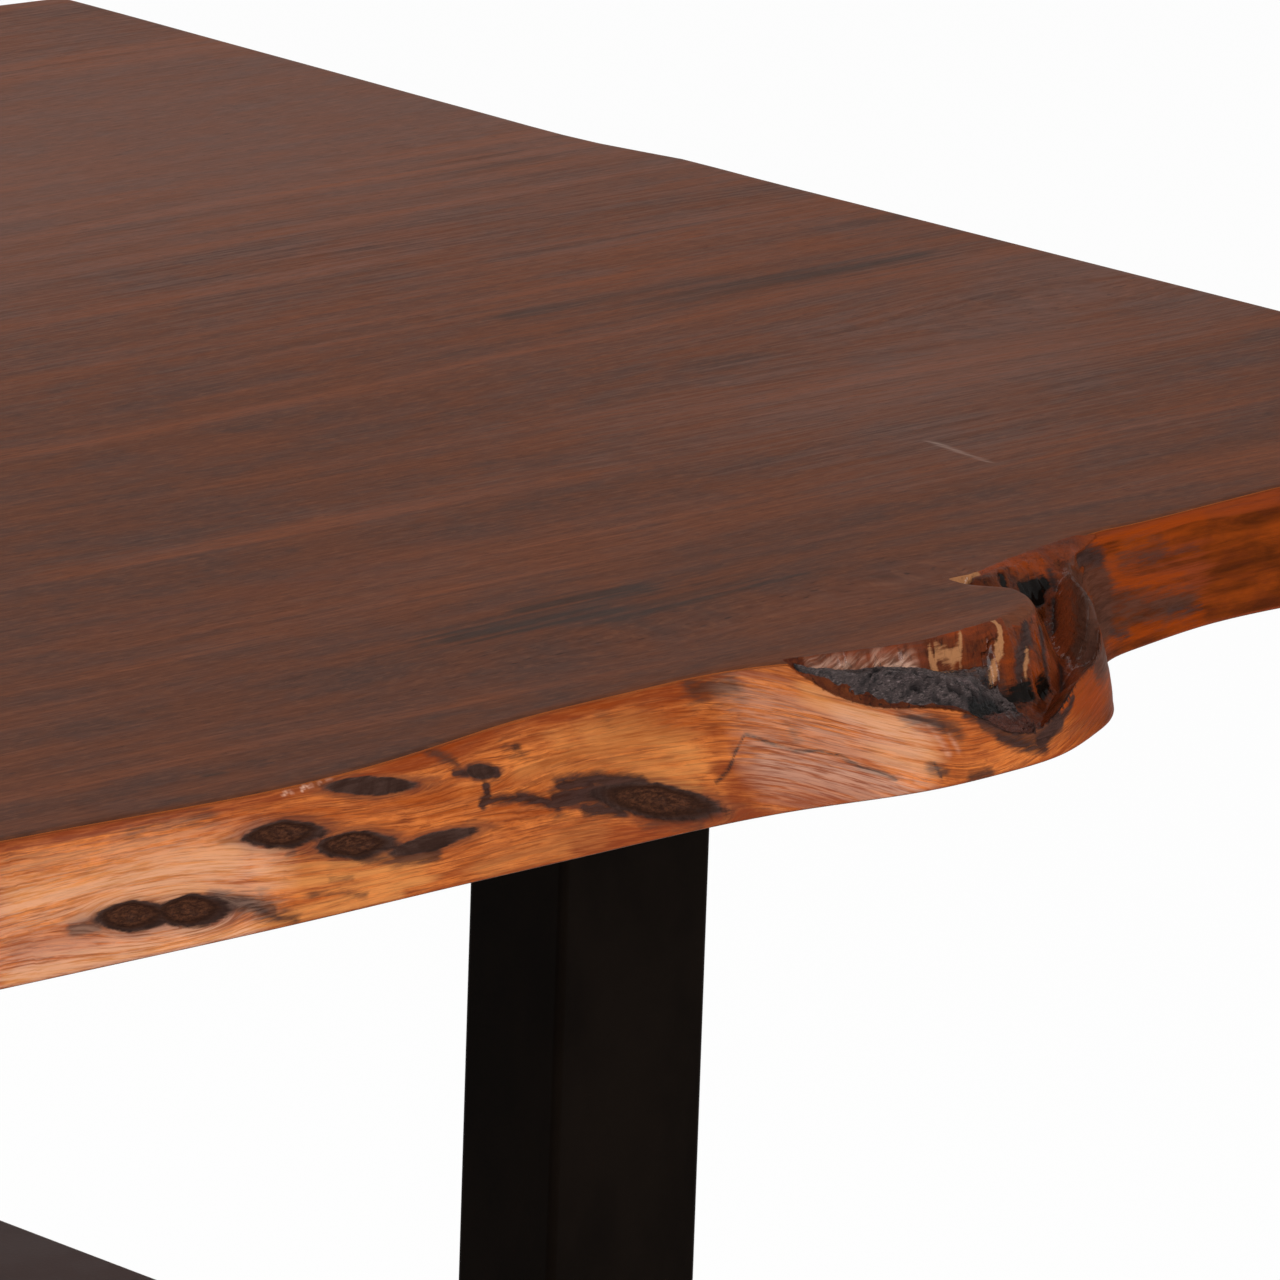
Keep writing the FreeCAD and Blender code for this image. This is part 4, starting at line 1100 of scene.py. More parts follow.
def wood_marks(s, color, band, fray, fibres):
    """Lays the stored marks over a wood colour, their borders frayed along the grain."""
    # painted highlight: the light marks lighten the wood where sheen lies on it
    color = s.mix(s.times(s.broken(s.mark("light"), band, 1.6), 0.60), color, (0.72, 0.290, 0.085))
    showing = s.between(fibres, 0, 1, 0.92, 0.62)
    stained = s.mix(fray, (0.020, 0.008, 0.005), (0.082, 0.035, 0.023))
    darkened = s.mix(fray, (0.008, 0.003, 0.002), (0.056, 0.028, 0.023))
    color = s.layers(
        color,
        (s.broken(s.mark("red"), band, 1.7), showing, (0.205, 0.040, 0.013)),
        (s.broken(s.mark("amber"), band, 1.6), showing, (0.265, 0.040, 0.003)),
        (s.broken(s.mark("stain"), fray), 0.84, stained),
        (s.broken(s.mark("dark"), fray, 1.9), 0.95, darkened))
    # painted sheen: the pale marks wash the wood pinkish white
    wash = s.between(s.add(fibres, band), 0.3, 1.5, 0.15, 1.0)
    color = s.mix(s.times(s.mark("pale"), wash), color, (0.78, 0.47, 0.34))
    color = s.mix(s.broken(s.mark("tan"), fray, 3.0), color, (0.38, 0.165, 0.068))
    # painted shade: near black in the holes
    color = s.mix(s.broken(s.mark("hole"), fray, 3.0), color, (0.006, 0.004, 0.003))
    return color


def resin_wood(s):
    """Colour and height of the burl pocket's wood, which shows through a gloss of resin."""
    places = s.object_mm()
    blotch = s.pattern(places, (13, 13, 16), 0.36, 0.64, 4.0, 0.6, 0.6)
    veins = s.pattern(places, (3.2, 3.2, 12), 0.34, 0.66, 4.0, 0.65, 0.8, shift=(5, 3, 1))
    fine = s.pattern(places, (1.1, 1.1, 2.4), 0.33, 0.67, 4.0, 0.65, shift=(9, 1, 4))
    cracks = s.pattern(places, (2.6, 2.6, 9), 0.60, 0.68, 3.0, 0.55, 1.2, shift=(2, 7, 5))
    color = s.mix(blotch, (0.034, 0.008, 0.004), (0.135, 0.030, 0.008))
    color = s.layers(
        color,
        (veins, 0.50, (0.070, 0.010, 0.004)),
        (fine, 0.20, (0.21, 0.060, 0.016)),
        (cracks, 0.75, (0.014, 0.007, 0.005)))
    height = s.add(s.times(fine, 0.5), s.add(s.times(cracks, -0.9), s.times(veins, 0.5)))
    return color, height


def natural_wood(name, gloss, coat, coat_roughness):
    """Natural edge and burl pocket: amber under lacquer, with fibres that part round the knots."""
    s = Shader(name)
    grain = s.attribute("grain", "Vector")
    ring, tone, wet = s.attribute("ring"), s.attribute("tone"), s.attribute("wet")
    places = s.object_mm()
    blotch = s.pattern(grain, (48, 13, 40), 0.35, 0.65, 4.0, 0.6, 0.4)
    mottle = s.pattern(grain, (15, 6.5, 15), 0.42, 0.64, 5.0, 0.68, 0.5, shift=(3, 6, 8))
    band = s.pattern(grain, (75, 2.8, 30), 0.33, 0.67, 4.0, 0.62, shift=(5, 3, 1))
    fine = s.pattern(grain, (12, 0.75, 6), 0.32, 0.68, 3.0, 0.6, shift=(9, 1, 4))
    lines = s.pattern(grain, (17, 0.70, 8), 0.53, 0.62, 2.0, 0.5, 0.25, shift=(2, 7, 5))
    hairs = s.pattern(grain, (9.5, 0.42, 5), 0.53, 0.63, 2.0, 0.5, 0.2, shift=(7, 3, 2))
    strands = s.pattern(grain, (40, 1.6, 12), 0.52, 0.64, 3.0, 0.55, 0.3, shift=(8, 2, 6))
    specks = s.pattern(grain, (4.0, 1.3, 3), 0.54, 0.70, 4.0, 0.7, shift=(4, 8, 2))
    fray = s.noise(s.stretch(places, (11, 11, 1.3), (6, 2, 3)), 4.0, 0.62, 0.3)
    fray = s.between(fray, 0.34, 0.66, 0.4, 1.0)
    color = s.mix(blotch, (0.380, 0.080, 0.014), (0.690, 0.196, 0.042))
    color = s.layers(
        color,
        (band, 0.45, (0.290, 0.055, 0.011)),
        (mottle, 0.42, (0.230, 0.044, 0.015)),
        (fine, 0.28, (0.690, 0.235, 0.070)),
        (specks, 0.34, (0.140, 0.034, 0.018)),
        (hairs, 0.34, (0.150, 0.032, 0.013)),
        (lines, 0.50, (0.110, 0.024, 0.010)),
        (strands, 0.34, (0.165, 0.036, 0.016)))
    depth = s.add(s.times(blotch, 0.65), s.times(band, 0.35))
    deep = s.mix(depth, (0.060, 0.013, 0.003), (0.250, 0.044, 0.005))
    deep = s.mix(s.times(mottle, 0.35), deep, (0.100, 0.018, 0.006))
    # tone: the burl's deep colour, in the pocket and on the lobe beside it, where it is also painted shade
    color = s.mix(tone, color, deep)
    halo = s.between(ring, 1.9, 0.95)
    color = s.mix(s.times(s.broken(halo, fray, 1.6), 0.62), color, (0.105, 0.034, 0.021))
    burl, burl_height = resin_wood(s)
    color = s.mix(wet, color, burl)
    color = wood_marks(s, color, band, fray, fine)
    crumb = s.pattern(places, (2.4, 2.4, 0.9), 0.38, 0.64, 5.0, 0.75, shift=(1, 2, 9))
    swirl = s.math("SINE", s.math("MULTIPLY_ADD", ring, 17.0, s.times(fray, 3.0)))
    inside = s.mix(s.times(crumb, s.between(ring, 0.95, 0.40)), (0.034, 0.014, 0.009), (0.098, 0.036, 0.018))
    inside = s.mix(s.times(s.between(swirl, 0.0, 1.0), 0.40), inside, (0.014, 0.007, 0.005))
    fibrous = s.mix(fine, fray, s.times(fray, 0.3))
    lip = s.mix(fibrous, (0.022, 0.011, 0.009), (0.092, 0.052, 0.042))
    inside = s.mix(s.times(s.between(ring, 0.72, 0.98), 0.85), inside, lip)
    knot = s.between(s.add(ring, s.times(s.math("SUBTRACT", fray, 0.7), 0.16)), 1.13, 0.92)
    color = s.mix(knot, color, inside)
    smear = s.math("MAXIMUM", s.broken(s.mark("dark"), fray, 2.4), knot)
    height = s.add(s.times(fine, 0.30), s.add(s.times(lines, -0.45), s.times(s.times(crumb, smear), 0.7)))
    height = s.add(height, s.times(s.times(swirl, knot), 0.5))
    height = s.add(s.times(height, 0.4), s.times(burl_height, wet))
    rough = s.add(s.between(fine, 0, 1, 0.34, 0.44), s.times(smear, 0.10))
    rough = s.math("SUBTRACT", rough, s.times(wet, 0.12))
    return s.finish(color, rough, s.bump(height, 0.00036), Specular_IOR_Level=gloss, Coat_Weight=coat,
                    Coat_Roughness=coat_roughness)


def bark():
    """Cracked dark bark, sealed with lacquer in places, with painted shade in its hollows and painted
    highlights on its ridges and sealed patches.
    """
    s = Shader("burl_bark")
    places = s.object_mm()
    plates = s.pattern(places, (7, 2.6, 2.6), 0.34, 0.66, 5.0, 0.7, 0.9)
    crumb = s.pattern(places, (1.6, 0.8, 0.6), 0.44, 0.62, 5.0, 0.8, shift=(9, 1, 4))
    cracks = s.pattern(places, (4.5, 1.5, 1.5), 0.57, 0.66, 3.0, 0.6, 1.0, shift=(2, 7, 5))
    # painted shade and highlight: black in the hollows, grey on the ridges and their crumbs
    raised = s.between(s.attribute("ring"), 0.2, 0.9)
    color = s.mix(raised, (0.014, 0.010, 0.010), (0.092, 0.063, 0.060))
    color = s.layers(
        color,
        (plates, 0.40, (0.032, 0.021, 0.022)),
        (s.times(crumb, raised), 0.85, (0.260, 0.195, 0.185)),
        (cracks, 0.80, (0.008, 0.005, 0.005)),
        (s.broken(s.mark("amber"), plates), 0.85, (0.200, 0.055, 0.010)),
        (s.broken(s.mark("red"), plates), 0.80, (0.110, 0.024, 0.010)),
        # painted sheen on the sealed patches
        (s.broken(s.mark("pale"), crumb, 1.8), 0.75, (0.300, 0.205, 0.200)))
    color = s.mix(s.broken(s.mark("tan"), crumb, 3.0), color, (0.56, 0.27, 0.13))
    # painted shade: near black in the holes
    color = s.mix(s.broken(s.mark("hole"), crumb, 3.0), color, (0.004, 0.003, 0.003))
    height = s.add(s.times(crumb, 0.8), s.add(s.times(cracks, -1.2), s.times(plates, 0.8)))
    rough = s.add(0.52, s.times(s.broken(s.mark("pale"), crumb, 1.8), -0.28))
    return s.finish(color, rough, s.bump(height, 0.0006), Specular_IOR_Level=0.15)


def end_grain():
    """Sawn ends of the slab: growth rings as flat arcs, fine pores, the same dark stain."""
    s = Shader("end_grain_wood")
    places = s.object_mm()
    centre = s.node("ShaderNodeVectorMath", 0, {0: places, 1: (0.0, 40.0, -520.0)}, operation="SUBTRACT")
    flat = s.stretch(centre, (4000, 1, 1))
    distance = s.node("ShaderNodeVectorMath", "Value", {0: flat}, operation="LENGTH")
    wobble = s.times(s.noise(s.stretch(places, (200, 60, 18)), 3.0), 26.0)
    rings = s.math("SINE", s.times(s.add(distance, wobble), 0.9))
    rings_wide = s.pattern(places, (200, 80, 10), 0.35, 0.65, 3.0)
    pores = s.pattern(places, (3, 0.7, 0.7), 0.62, 0.72, 1.0, shift=(4, 8, 2))
    rays = s.pattern(places, (50, 1.0, 14), 0.35, 0.65, 2.0, shift=(4, 2, 2))
    color = s.mix(rings_wide, (0.088, 0.036, 0.024), (0.140, 0.058, 0.036))
    color = s.mix(s.between(rings, -0.4, 1.0, 0.0, 0.5), color, (0.058, 0.024, 0.016))
    color = s.layers(
        color,
        (rays, 0.20, (0.180, 0.080, 0.050)),
        (pores, 0.8, (0.018, 0.009, 0.007)))
    return s.finish(color, 0.55, s.bump(s.add(s.times(pores, -1.0), s.times(rays, 0.2)), 0.0001),
                    Specular_IOR_Level=0.2)


def underside_wood():
    """Underside: the same slab, sanded less finely and stained thinner."""
    s = Shader("underside_wood")
    grain = s.attribute("grain", "Vector")
    wide = s.pattern(grain, (420, 30, 50), 0.34, 0.66, 3.0)
    streak = s.pattern(grain, (120, 2.8, 20), 0.32, 0.68, 4.0, 0.6, shift=(9, 1, 4))
    fibre = s.pattern(grain, (12, 0.6, 5), 0.3, 0.7, 2.0, shift=(2, 7, 5))
    planing = s.pattern(grain, (3.0, 260, 50), 0.3, 0.7, 0.0, shift=(1, 7, 5))
    color = s.mix(wide, (0.120, 0.052, 0.034), (0.205, 0.092, 0.054))
    color = s.layers(
        color,
        (streak, 0.45, (0.080, 0.034, 0.023)),
        (fibre, 0.25, (0.050, 0.023, 0.016)))
    height = s.add(s.times(fibre, 0.5), s.times(planing, 0.4))
    return s.finish(color, 0.68, s.bump(height, 0.00012), Specular_IOR_Level=0.2)


def powder_coat():
    """Satin black powder coat with a fine orange-peel surface and mottled dust; faces that point up get a
    painted sheen.
    """
    s = Shader("black_powder_coat")
    places = s.places.outputs["Object"]
    peel = s.noise(s.stretch(places, (0.0016, 0.0016, 0.0016)), 2.0)
    dust = s.pattern(places, (0.05, 0.05, 0.08), 0.35, 0.65, 4.0, 0.6)
    color = s.mix(dust, (0.0034, 0.0020, 0.0013), (0.0056, 0.0034, 0.0022))
    # painted sheen: faces that point up are made lighter, standing in for the light they catch from above
    upward = s.node("ShaderNodeSeparateXYZ", "Z", {0: s.places.outputs["Normal"]})
    color = s.mix(s.between(upward, 0.8, 1.0), color, (0.100, 0.052, 0.044))
    return s.finish(color, s.between(dust, 0, 1, 0.30, 0.38), s.bump(peel, 0.00003), Specular_IOR_Level=0.012,
                    Sheen_Weight=1.0, Sheen_Roughness=0.2, Sheen_Tint=(1.0, 0.80, 0.76, 1.0))


def zinc_plate():
    s = Shader("zinc_plate")
    places = s.places.outputs["Object"]
    spangle = s.pattern(places, (0.002, 0.002, 0.002), 0.35, 0.65, 3.0, 0.6)
    brushed = s.noise(s.stretch(places, (0.004, 0.004, 0.0003)), 2.0)
    color = s.mix(spangle, (0.50, 0.50, 0.49), (0.66, 0.66, 0.63))
    return s.finish(color, s.between(brushed, 0.3, 0.7, 0.26, 0.40), s.bump(brushed, 0.00002), Metallic=1.0)


def brass():
    s = Shader("insert_brass")
    places = s.places.outputs["Object"]
    stain = s.pattern(places, (0.004, 0.004, 0.004), 0.35, 0.65, 3.0)
    color = s.mix(stain, (0.52, 0.36, 0.13), (0.66, 0.48, 0.20))
    return s.finish(color, s.between(stain, 0, 1, 0.28, 0.42), s.bump(stain, 0.00002), Metallic=1.0)


def nylon():
    s = Shader("black_nylon")
    places = s.places.outputs["Object"]
    grainy = s.noise(s.stretch(places, (0.0009, 0.0009, 0.0009)), 2.0)
    scuff = s.pattern(places, (0.012, 0.012, 0.012), 0.4, 0.7, 4.0)
    color = s.mix(scuff, (0.018, 0.018, 0.018), (0.034, 0.034, 0.034))
    return s.finish(color, 0.58, s.bump(grainy, 0.00004), Specular_IOR_Level=0.35)


# ------------------------------------------------------------------ slab, bark and resin

slab = build_slab()
cutter, carved_grid = pocket_cutter()
BURL_WOOD = natural_wood("burl_pocket_wood", 0.004, 0.09, 0.07)
EDGE_WOOD = natural_wood("natural_edge_wood", 0.006, 0.006, 0.2)
# in the order of TOP, EDGE, POCKET, END_GRAIN and UNDERSIDE
SURFACES = (top_wood(), EDGE_WOOD, BURL_WOOD, end_grain(), underside_wood())
for obj in (slab, cutter):
    for material in SURFACES:
        obj.data.materials.append(material)
sort_faces(slab.data)
cutter.data.polygons.foreach_set("material_index", np.full(len(cutter.data.polygons), POCKET, np.int32))
cut = slab.modifiers.new("pocket", "BOOLEAN")
cut.operation, cut.solver, cut.object = "DIFFERENCE", "MANIFOLD", cutter
cut.material_mode = "INDEX"
apply_modifiers(slab)
bpy.data.objects.remove(cutter)
merge_rim(slab.data)
smooth_rim(slab.data)
soften_tongue(slab.data)
dress_slab(slab.data)
shade_smooth(slab.data, WOOD_SHARP)
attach(slab, "table")
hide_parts("tabletop_slab")
for (piece, raised), node, finish, material in zip(burl_solids(carved_grid), ("burl_bark", "burl_resin"),
                                                   ("bark", "resin"), (bark(), BURL_WOOD)):
    piece.data.materials.append(material)
    shade_smooth(piece.data)
    dress_piece(piece.data, raised)
    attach(piece, "table")
    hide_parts(node)

# ------------------------------------------------------------------ the steel frames and feet

STEEL, ZINC, BRASS, NYLON = powder_coat(), zinc_plate(), brass(), nylon()
FRAME_X, UPRIGHT_Y = 520.0, 359.5
TUBE_X, TUBE_Y, TUBE_CORNER = 76.0, 51.0, 3.0
PLATE_BOTTOM, CROSSBAR_TOP, CROSSBAR_DEPTH = 711.0, 400.0, 51.0
WELD_LEG, WELD_RIPPLE, WELD_TAPER, WELD_STEP = 5.0, 1.9, 2.2, 0.4
WASHER_BOTTOM = PLATE_BOTTOM - 2.5
BOLT_X, BOLT_Y = (-55.0, 55.0), (-290.0, 0.0, 290.0)
BOLT_RADIUS, BOLT_PITCH, BOLT_FLATS, BOLT_HEAD, BOLT_TIP = 4.0, 1.25, 13.0, 5.3, 733.0
STUD_RADIUS, STUD_PITCH, COLLAR_FLATS, COLLAR_LOW, COLLAR_HIGH, STUD_TIP = 5.0, 1.5, 14.0, 9.3, 14.7, 47.0
AROUND = 48                     # steps round a turned part: a whole number for each hexagon side
TURN = np.arange(AROUND) * 2 * math.pi / AROUND
SPANNER_CHAMFER = math.tan(math.radians(30))


def circle(radius, z):
    return np.full(AROUND, float(radius)), np.full(AROUND, float(z))


def profile(*places):
    """Rings of a turned part from its (radius, height) places."""
    return [circle(radius, z) for radius, z in places]


def hexagon(flats):
    """Radius of a hexagon's outline at each step round it."""
    return flats / 2 / np.cos(np.mod(TURN, math.pi / 3) - math.pi / 6)


def hexagon_rings(flats, low, high, upper_chamfer):
    """A spanner hexagon whose corners are turned off at 30 degrees."""
    radius, face = hexagon(flats), 0.47 * flats
    drop = (radius - face) * SPANNER_CHAMFER
    rings = [circle(face, low), (radius, low + drop)]
    if upper_chamfer:
        return rings + [(radius, high - drop), circle(face, high)]
    return rings + [(radius, np.full(AROUND, float(high)))]


def thread_rings(radius, pitch, low, high):
    """A right-hand thread: the groove climbs one pitch in each turn."""
    rings = []
    for z in np.arange(low, high, pitch / 6):
        phase = np.mod(z / pitch - TURN / (2 * math.pi), 1.0)
        groove = np.clip(1.15 - 2.6 * np.abs(phase - 0.5), 0, 1)
        rings.append((radius - 0.58 * pitch * groove, np.full(AROUND, z)))
    return rings


def turned(rings, closed=False):
    """Points and faces of a part turned on the vertical axis."""
    points = np.concatenate([np.stack([r * np.cos(TURN), r * np.sin(TURN), z], 1) for r, z in rings])
    faces = []
    for i in range(len(rings) if closed else len(rings) - 1):
        a, b = i * AROUND, (i + 1) % len(rings) * AROUND
        for k in range(AROUND):
            n = (k + 1) % AROUND
            faces.append((a + k, a + n, b + n, b + k))
    if not closed:
        faces.append(tuple(range(AROUND))[::-1])
        faces.append(tuple(range(len(points) - AROUND, len(points))))
    return points, faces


def bolt():
    """M8 hexagon bolt, head down."""
    head = hexagon_rings(BOLT_FLATS, WASHER_BOTTOM - BOLT_HEAD, WASHER_BOTTOM, False)
    shank = profile((BOLT_RADIUS, WASHER_BOTTOM), (BOLT_RADIUS, SLAB_BOTTOM))
    thread = thread_rings(BOLT_RADIUS, BOLT_PITCH, SLAB_BOTTOM + 0.2, BOLT_TIP - 1)
    return turned(head + shank + thread + profile((BOLT_RADIUS - 0.8, BOLT_TIP)))


def washer():
    low, high = WASHER_BOTTOM, PLATE_BOTTOM
    return turned(profile((4.2, high - 0.3), (4.2, low + 0.3), (4.5, low), (11.5, low), (12.0, low + 0.5),
                          (12.0, high - 0.2), (11.8, high), (4.5, high)), True)


def stud():
    """M10 levelling stud: rivet head, neck, spanner collar and threaded shank."""
    rivet = profile((6.1, 3.4), (6.5, 3.8), (6.5, 4.5), (6.1, 4.9), (4.0, 4.9), (4.0, COLLAR_LOW))
    collar = hexagon_rings(COLLAR_FLATS, COLLAR_LOW, COLLAR_HIGH, True) + profile((4.4, COLLAR_HIGH))
    thread = thread_rings(STUD_RADIUS, STUD_PITCH, COLLAR_HIGH + 0.2, STUD_TIP - 1)
    return turned(rivet + collar + thread + profile((4.1, STUD_TIP - 0.8), (3.6, STUD_TIP)))


def cup():
    """Cup pressed from sheet, with a rounded shoulder and boss."""
    inside = profile((4.05, 8.7), (4.05, 5.0), (18.5, 5.0))
    outside = profile((18.5, 1.5), (19.8, 1.5), (20.0, 1.8), (20.0, 5.7), (19.7, 6.25), (19.0, 6.6),
                      (11.6, 8.45), (10.6, 8.8), (9.4, 9.0), (4.4, 9.0))
    return turned(inside + outside, True)


def sole():
    """Nylon sole with ring-shaped grooves in its underside."""
    rings = profile((0.4, 3.1), (7.1, 3.1), (7.1, 5.0), (18.4, 5.0), (18.4, 1.5), (17.9, 0.7), (16.9, 0.0))
    for outer in (14.6, 11.4, 8.2, 5.0):
        rings += profile((outer, 0.0), (outer - 0.3, 0.5), (outer - 1.1, 0.5), (outer - 1.4, 0.0))
    return turned((rings + profile((0.4, 0.0)))[::-1])


def weld_bead(roots, outwards, up, ring):
    """Rippled fillet bead along a line of root points. outwards, up: directions of its two legs."""
    count, arc = len(roots), np.radians(np.linspace(0, 90, 7))
    step = np.linalg.norm(np.diff(roots, axis=0), axis=1)
    along = np.concatenate([[0], np.cumsum(step)])
    from_end = np.minimum(along, along[-1] - along)
    ends = np.ones(count) if ring else np.sqrt(np.clip(from_end / WELD_TAPER, 0.02, 1))
    phase = along[:, None] / WELD_RIPPLE + 0.45 * np.sin(2 * arc) + 0.25 * noise(along / 7.0, 3.0)[:, None]
    full = 0.5 + 0.5 / (np.cos(arc) + np.sin(arc))
    reach = WELD_LEG * full * (1 - 0.11 * np.sin(2 * arc) * np.mod(phase, 1.0) ** 2) * ends[:, None]
    rim = (roots[:, None] + reach[..., None] * (np.cos(arc)[:, None] * outwards[:, None]
                                                + np.sin(arc)[:, None] * np.array(up)))
    section = np.concatenate([roots[:, None], rim], 1)
    width = section.shape[1]
    faces = []
    for i in range(count if ring else count - 1):
        a, b = i * width, (i + 1) % count * width
        for k in range(width):
            n = (k + 1) % width
            faces.append((a + k, b + k, b + n, a + n))
    if not ring:
        faces.append(tuple(range(width)))
        faces.append(tuple(range((count - 1) * width, count * width))[::-1])
    return section.reshape(-1, 3), faces


def tube_outline(spacing):
    """Points round the tube's outside, and the outward direction at each."""
    flat_x, flat_y = TUBE_X / 2 - TUBE_CORNER, TUBE_Y / 2 - TUBE_CORNER
    places, normals = [], []
    for corner, (sx, sy) in enumerate(((1, 1), (-1, 1), (-1, -1), (1, -1))):
        for angle in np.radians(np.linspace(0, 90, 7) + 90 * corner):
            normal = (math.cos(angle), math.sin(angle), 0)
            places.append((sx * flat_x + TUBE_CORNER * normal[0], sy * flat_y + TUBE_CORNER * normal[1], 0))
            normals.append(normal)
        length = 2 * (flat_y if corner % 2 else flat_x)
        way = (-normal[1], normal[0])
        start = places[-1]
        for share in np.arange(spacing, length, spacing):
            places.append((start[0] + share * way[0], start[1] + share * way[1], 0))
            normals.append(normal)
    return np.array(places), np.array(normals)


def frame_beads(frame_x):
    """Beads round the tops of the uprights, and over and under the crossbar's ends."""
    beads = []
    places, normals = tube_outline(WELD_STEP)
    across = np.arange(-TUBE_X / 2 + TUBE_CORNER, TUBE_X / 2 - TUBE_CORNER + 0.01, WELD_STEP)
    for y_side in (-1, 1):
        around = places + (frame_x, y_side * UPRIGHT_Y, PLATE_BOTTOM)
        beads.append(weld_bead(around, normals, (0, 0, -1), True))
        inner = y_side * (UPRIGHT_Y - TUBE_Y / 2)
        for z, up in ((CROSSBAR_TOP, 1), (CROSSBAR_TOP - CROSSBAR_DEPTH, -1)):
            roots = np.stack([frame_x + across, np.full(len(across), inner), np.full(len(across), z)], 1)
            inwards = np.tile((0.0, -y_side, 0.0), (len(across), 1))
            beads.append(weld_bead(roots, inwards, (0, 0, up), False))
    return beads


def joined(parts):
    """One list of points and one of faces from several parts."""
    points, faces, total = [], [], 0
    for part_points, part_faces in parts:
        points.append(part_points)
        faces += [tuple(i + total for i in face) for face in part_faces]
        total += len(part_points)
    return np.concatenate(points), faces


def moved(part, x, y):
    return part[0] + (x, y, 0), part[1]


REPLACED = {"tabletop_slab", "burl_bark", "burl_resin"}


def dress_node(node, body, finish, part):
    """Puts a detailed mesh in the place of a CAD node."""
    REPLACED.add(node)
    points, faces = part
    obj = new_mesh(node + "_detailed", points, faces)
    work = bmesh.new()
    work.from_mesh(obj.data)
    bmesh.ops.recalc_face_normals(work, faces=work.faces)
    work.to_mesh(obj.data)
    work.free()
    obj.data.materials.append(finish)
    shade_smooth(obj.data, METAL_SHARP)
    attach(obj, body)
    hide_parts(node)


BOLT_PARTS = (("_plate_bolts", bolt()), ("_plate_washers", washer()))
FOOT_PARTS = (
    ("_foot_stud", "_stud", "zinc_steel", ZINC, stud()),
    ("_foot_cup", "_foot", "zinc_steel", ZINC, cup()),
    ("_foot_sole", "_foot", "foot_plastic", NYLON, sole()))
for side, frame_x in (("left", -FRAME_X), ("right", FRAME_X)):
    dress_node(side + "_frame_welds", "table", STEEL, joined(frame_beads(frame_x)))
    for ending, part in BOLT_PARTS:
        places = [moved(part, frame_x + x, y) for x in BOLT_X for y in BOLT_Y]
        dress_node(side + ending, "table", ZINC, joined(places))
    for leg, y in ((side + "_front", -UPRIGHT_Y), (side + "_back", UPRIGHT_Y)):
        for ending, body, slot, finish, part in FOOT_PARTS:
            dress_node(leg + ending, leg + body, finish, moved(part, frame_x, y))
FINISHES = (("inserts", BRASS), ("weld_nut", ZINC))
SOFT_EDGES, SOFT_WIDTH, SOFT_DEGREES = ("plate", "nut", "inserts"), 0.4, 40
for name, obj in NODES.items():
    if name not in REPLACED:
        obj.data.materials.clear()
        obj.data.materials.append(next((finish for word, finish in FINISHES if word in name), STEEL))
        if any(word in name for word in SOFT_EDGES):
            bevel = obj.modifiers.new("soft_edges", "BEVEL")
            bevel.width, bevel.segments = SOFT_WIDTH * MM, 2
            bevel.limit_method, bevel.angle_limit = "ANGLE", math.radians(SOFT_DEGREES)

# ------------------------------------------------------------------ stage, light and camera

# in mm, just under the lowest place that the levelling feet reach, so that they show at every pose
FLOOR_LEVEL, FLOOR_HALF = -12.5, 60000.0
# how much of the floor's own white is seen, and the strength of the sky as light and as seen
FLOOR_GLOW, SOFT_SKY, WHITE_SKY = 0.97, 0.30, 1.0
# name, place, target, width and height in metres, power
LIGHTS = (
    ("key", (1.25, -2.75, 1.35), (0.25, -0.45, 0.74), (0.8, 0.6), 26),
    ("front", (-0.5, -3.4, 2.3), (0.2, -0.3, 0.7), (2.2, 1.4), 32),
    ("fill", (-2.8, -2.2, 1.4), (0.0, -0.3, 0.74), (1.6, 1.6), 27),
    ("overhead", (0.4, 1.6, 2.5), (0.1, 0.3, 0.7), (2.4, 1.6), 39))
# The camera was fitted to straight edges of the photo by a separate script, with the table's
# height, tube and slab taken as known. Place in metres, angles in radians, lens in mm.
CAMERA_PLACE = (-2.01451, -2.95779, 1.70419)
CAMERA_YAW, CAMERA_PITCH, CAMERA_ROLL = 0.777271, 0.262428, -0.034767
LENS, SENSOR_WIDTH = 287.42, 36.0


def seen_share(nodes, links):
    """One for what the camera sees, also in a reflection or through glass, and zero for light."""
    path = nodes.new("ShaderNodeLightPath")
    share = path.outputs["Is Camera Ray"]
    for ray in ("Is Glossy Ray", "Is Transmission Ray"):
        larger = nodes.new("ShaderNodeMath")
        larger.operation = "MAXIMUM"
        links.new(share, larger.inputs[0])
        links.new(path.outputs[ray], larger.inputs[1])
        share = larger.outputs[0]
    return share


def light_and_look(nodes, links, output, share, lit, seen):
    """Mixes the shader that gives light with the one that is seen."""
    mix = nodes.new("ShaderNodeMixShader")
    links.new(share, mix.inputs[0])
    links.new(lit.outputs[0], mix.inputs[1])
    links.new(seen.outputs[0], mix.inputs[2])
    links.new(mix.outputs[0], nodes.new(output).inputs[0])


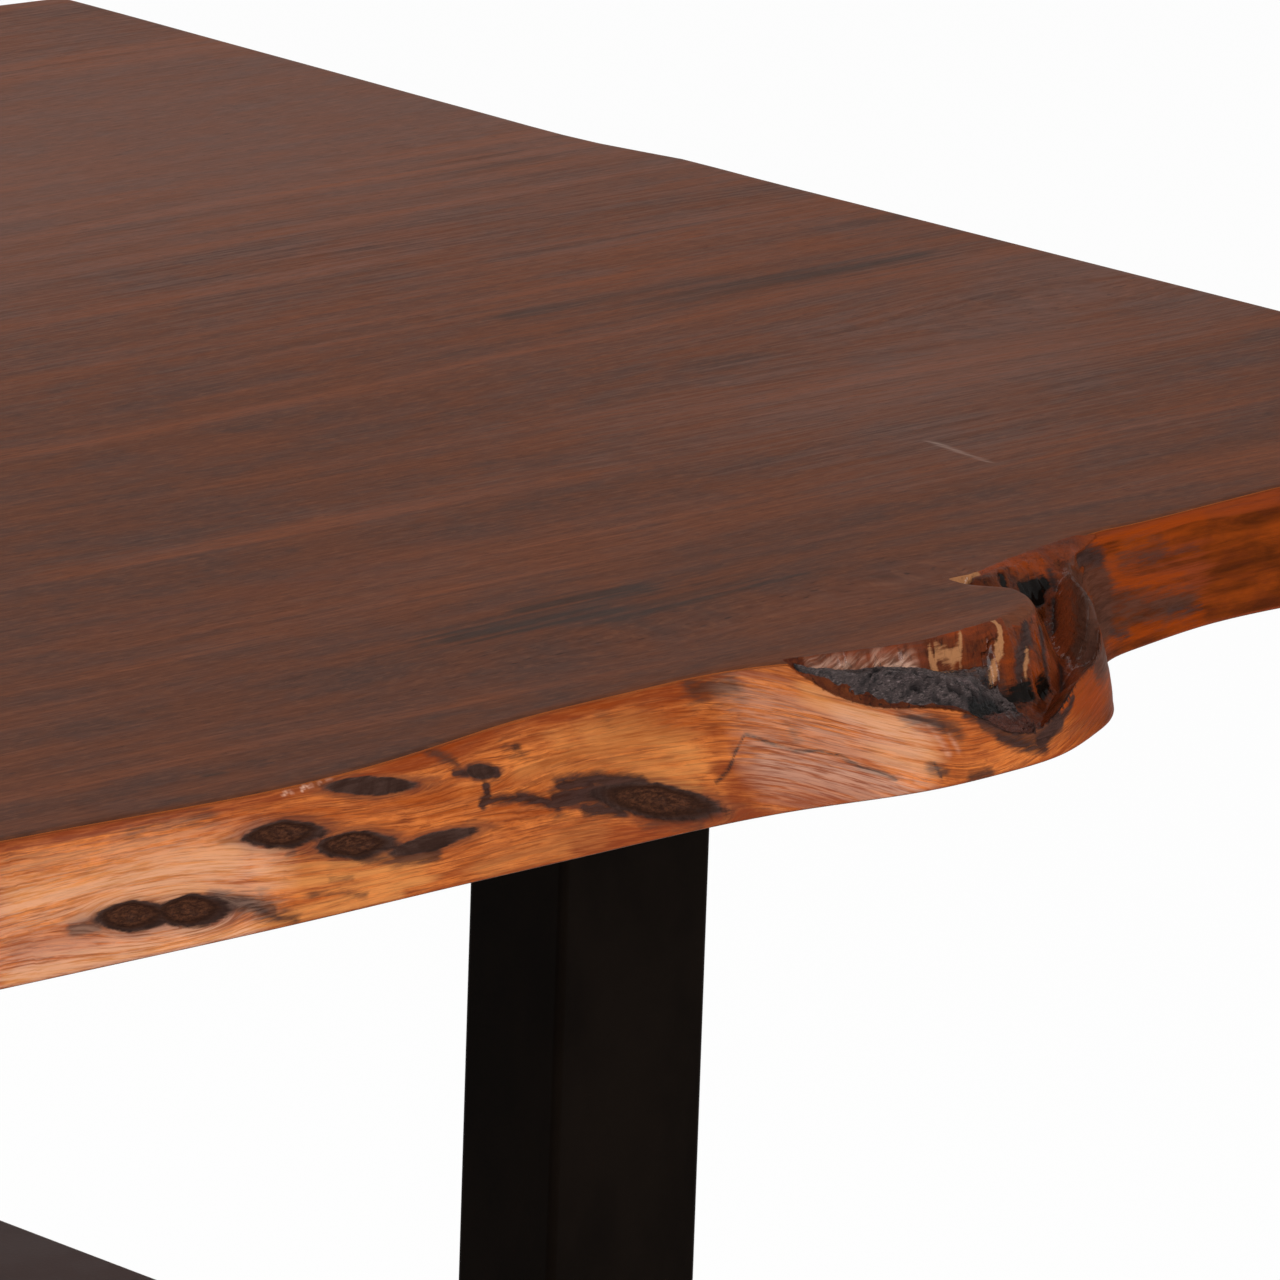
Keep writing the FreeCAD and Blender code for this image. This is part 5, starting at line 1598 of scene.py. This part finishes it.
def floor():
    material = bpy.data.materials.new("studio_floor")
    material.use_nodes = True
    nodes, links = material.node_tree.nodes, material.node_tree.links
    nodes.clear()
    diffuse = nodes.new("ShaderNodeBsdfDiffuse")
    diffuse.inputs["Color"].default_value = (0.9, 0.9, 0.9, 1)
    share = nodes.new("ShaderNodeMath")
    share.operation = "MULTIPLY"
    links.new(seen_share(nodes, links), share.inputs[0])
    share.inputs[1].default_value = FLOOR_GLOW
    glow = nodes.new("ShaderNodeEmission")
    light_and_look(nodes, links, "ShaderNodeOutputMaterial", share.outputs[0], diffuse, glow)
    corners = [(x, y, FLOOR_LEVEL) for x, y in ((-1, -1), (1, -1), (1, 1), (-1, 1))]
    obj = new_mesh("studio_floor", np.array(corners) * (FLOOR_HALF, FLOOR_HALF, 1), [(0, 1, 2, 3)])
    obj.data.materials.append(material)


def world():
    scene = bpy.context.scene
    scene.world = bpy.data.worlds.new("studio")
    scene.world.use_nodes = True
    nodes, links = scene.world.node_tree.nodes, scene.world.node_tree.links
    nodes.clear()
    skies = []
    for strength in (SOFT_SKY, WHITE_SKY):
        sky = nodes.new("ShaderNodeBackground")
        sky.inputs["Color"].default_value = (1, 1, 1, 1)
        sky.inputs["Strength"].default_value = strength
        skies.append(sky)
    light_and_look(nodes, links, "ShaderNodeOutputWorld", seen_share(nodes, links), *skies)


def area_light(name, place, target, size, power):
    light = bpy.data.lights.new(name, "AREA")
    light.shape = "RECTANGLE"
    light.size, light.size_y, light.energy = size[0], size[1], power
    obj = bpy.data.objects.new(name, light)
    bpy.context.scene.collection.objects.link(obj)
    obj.location = place
    obj.rotation_euler = (Vector(target) - Vector(place)).to_track_quat("-Z", "Y").to_euler()


def camera():
    data = bpy.data.cameras.new("camera")
    obj = bpy.data.objects.new("camera", data)
    bpy.context.scene.collection.objects.link(obj)
    data.sensor_width, data.lens = SENSOR_WIDTH, LENS
    data.clip_start, data.clip_end = 0.1, 200.0
    yaw, pitch, roll = CAMERA_YAW, CAMERA_PITCH, CAMERA_ROLL
    ahead = Vector((math.sin(yaw) * math.cos(pitch), math.cos(yaw) * math.cos(pitch), -math.sin(pitch)))
    right = Vector((math.cos(yaw), -math.sin(yaw), 0))
    down = ahead.cross(right)
    c, s = math.cos(roll), math.sin(roll)
    right, down = c * right + s * down, -s * right + c * down
    turn = Matrix((right, -down, -ahead)).transposed().to_4x4()
    obj.matrix_world = Matrix.Translation(CAMERA_PLACE) @ turn
    bpy.context.scene.camera = obj


floor()
world()
for light in LIGHTS:
    area_light(*light)
camera()
bpy.context.scene.view_settings.view_transform = "Standard"
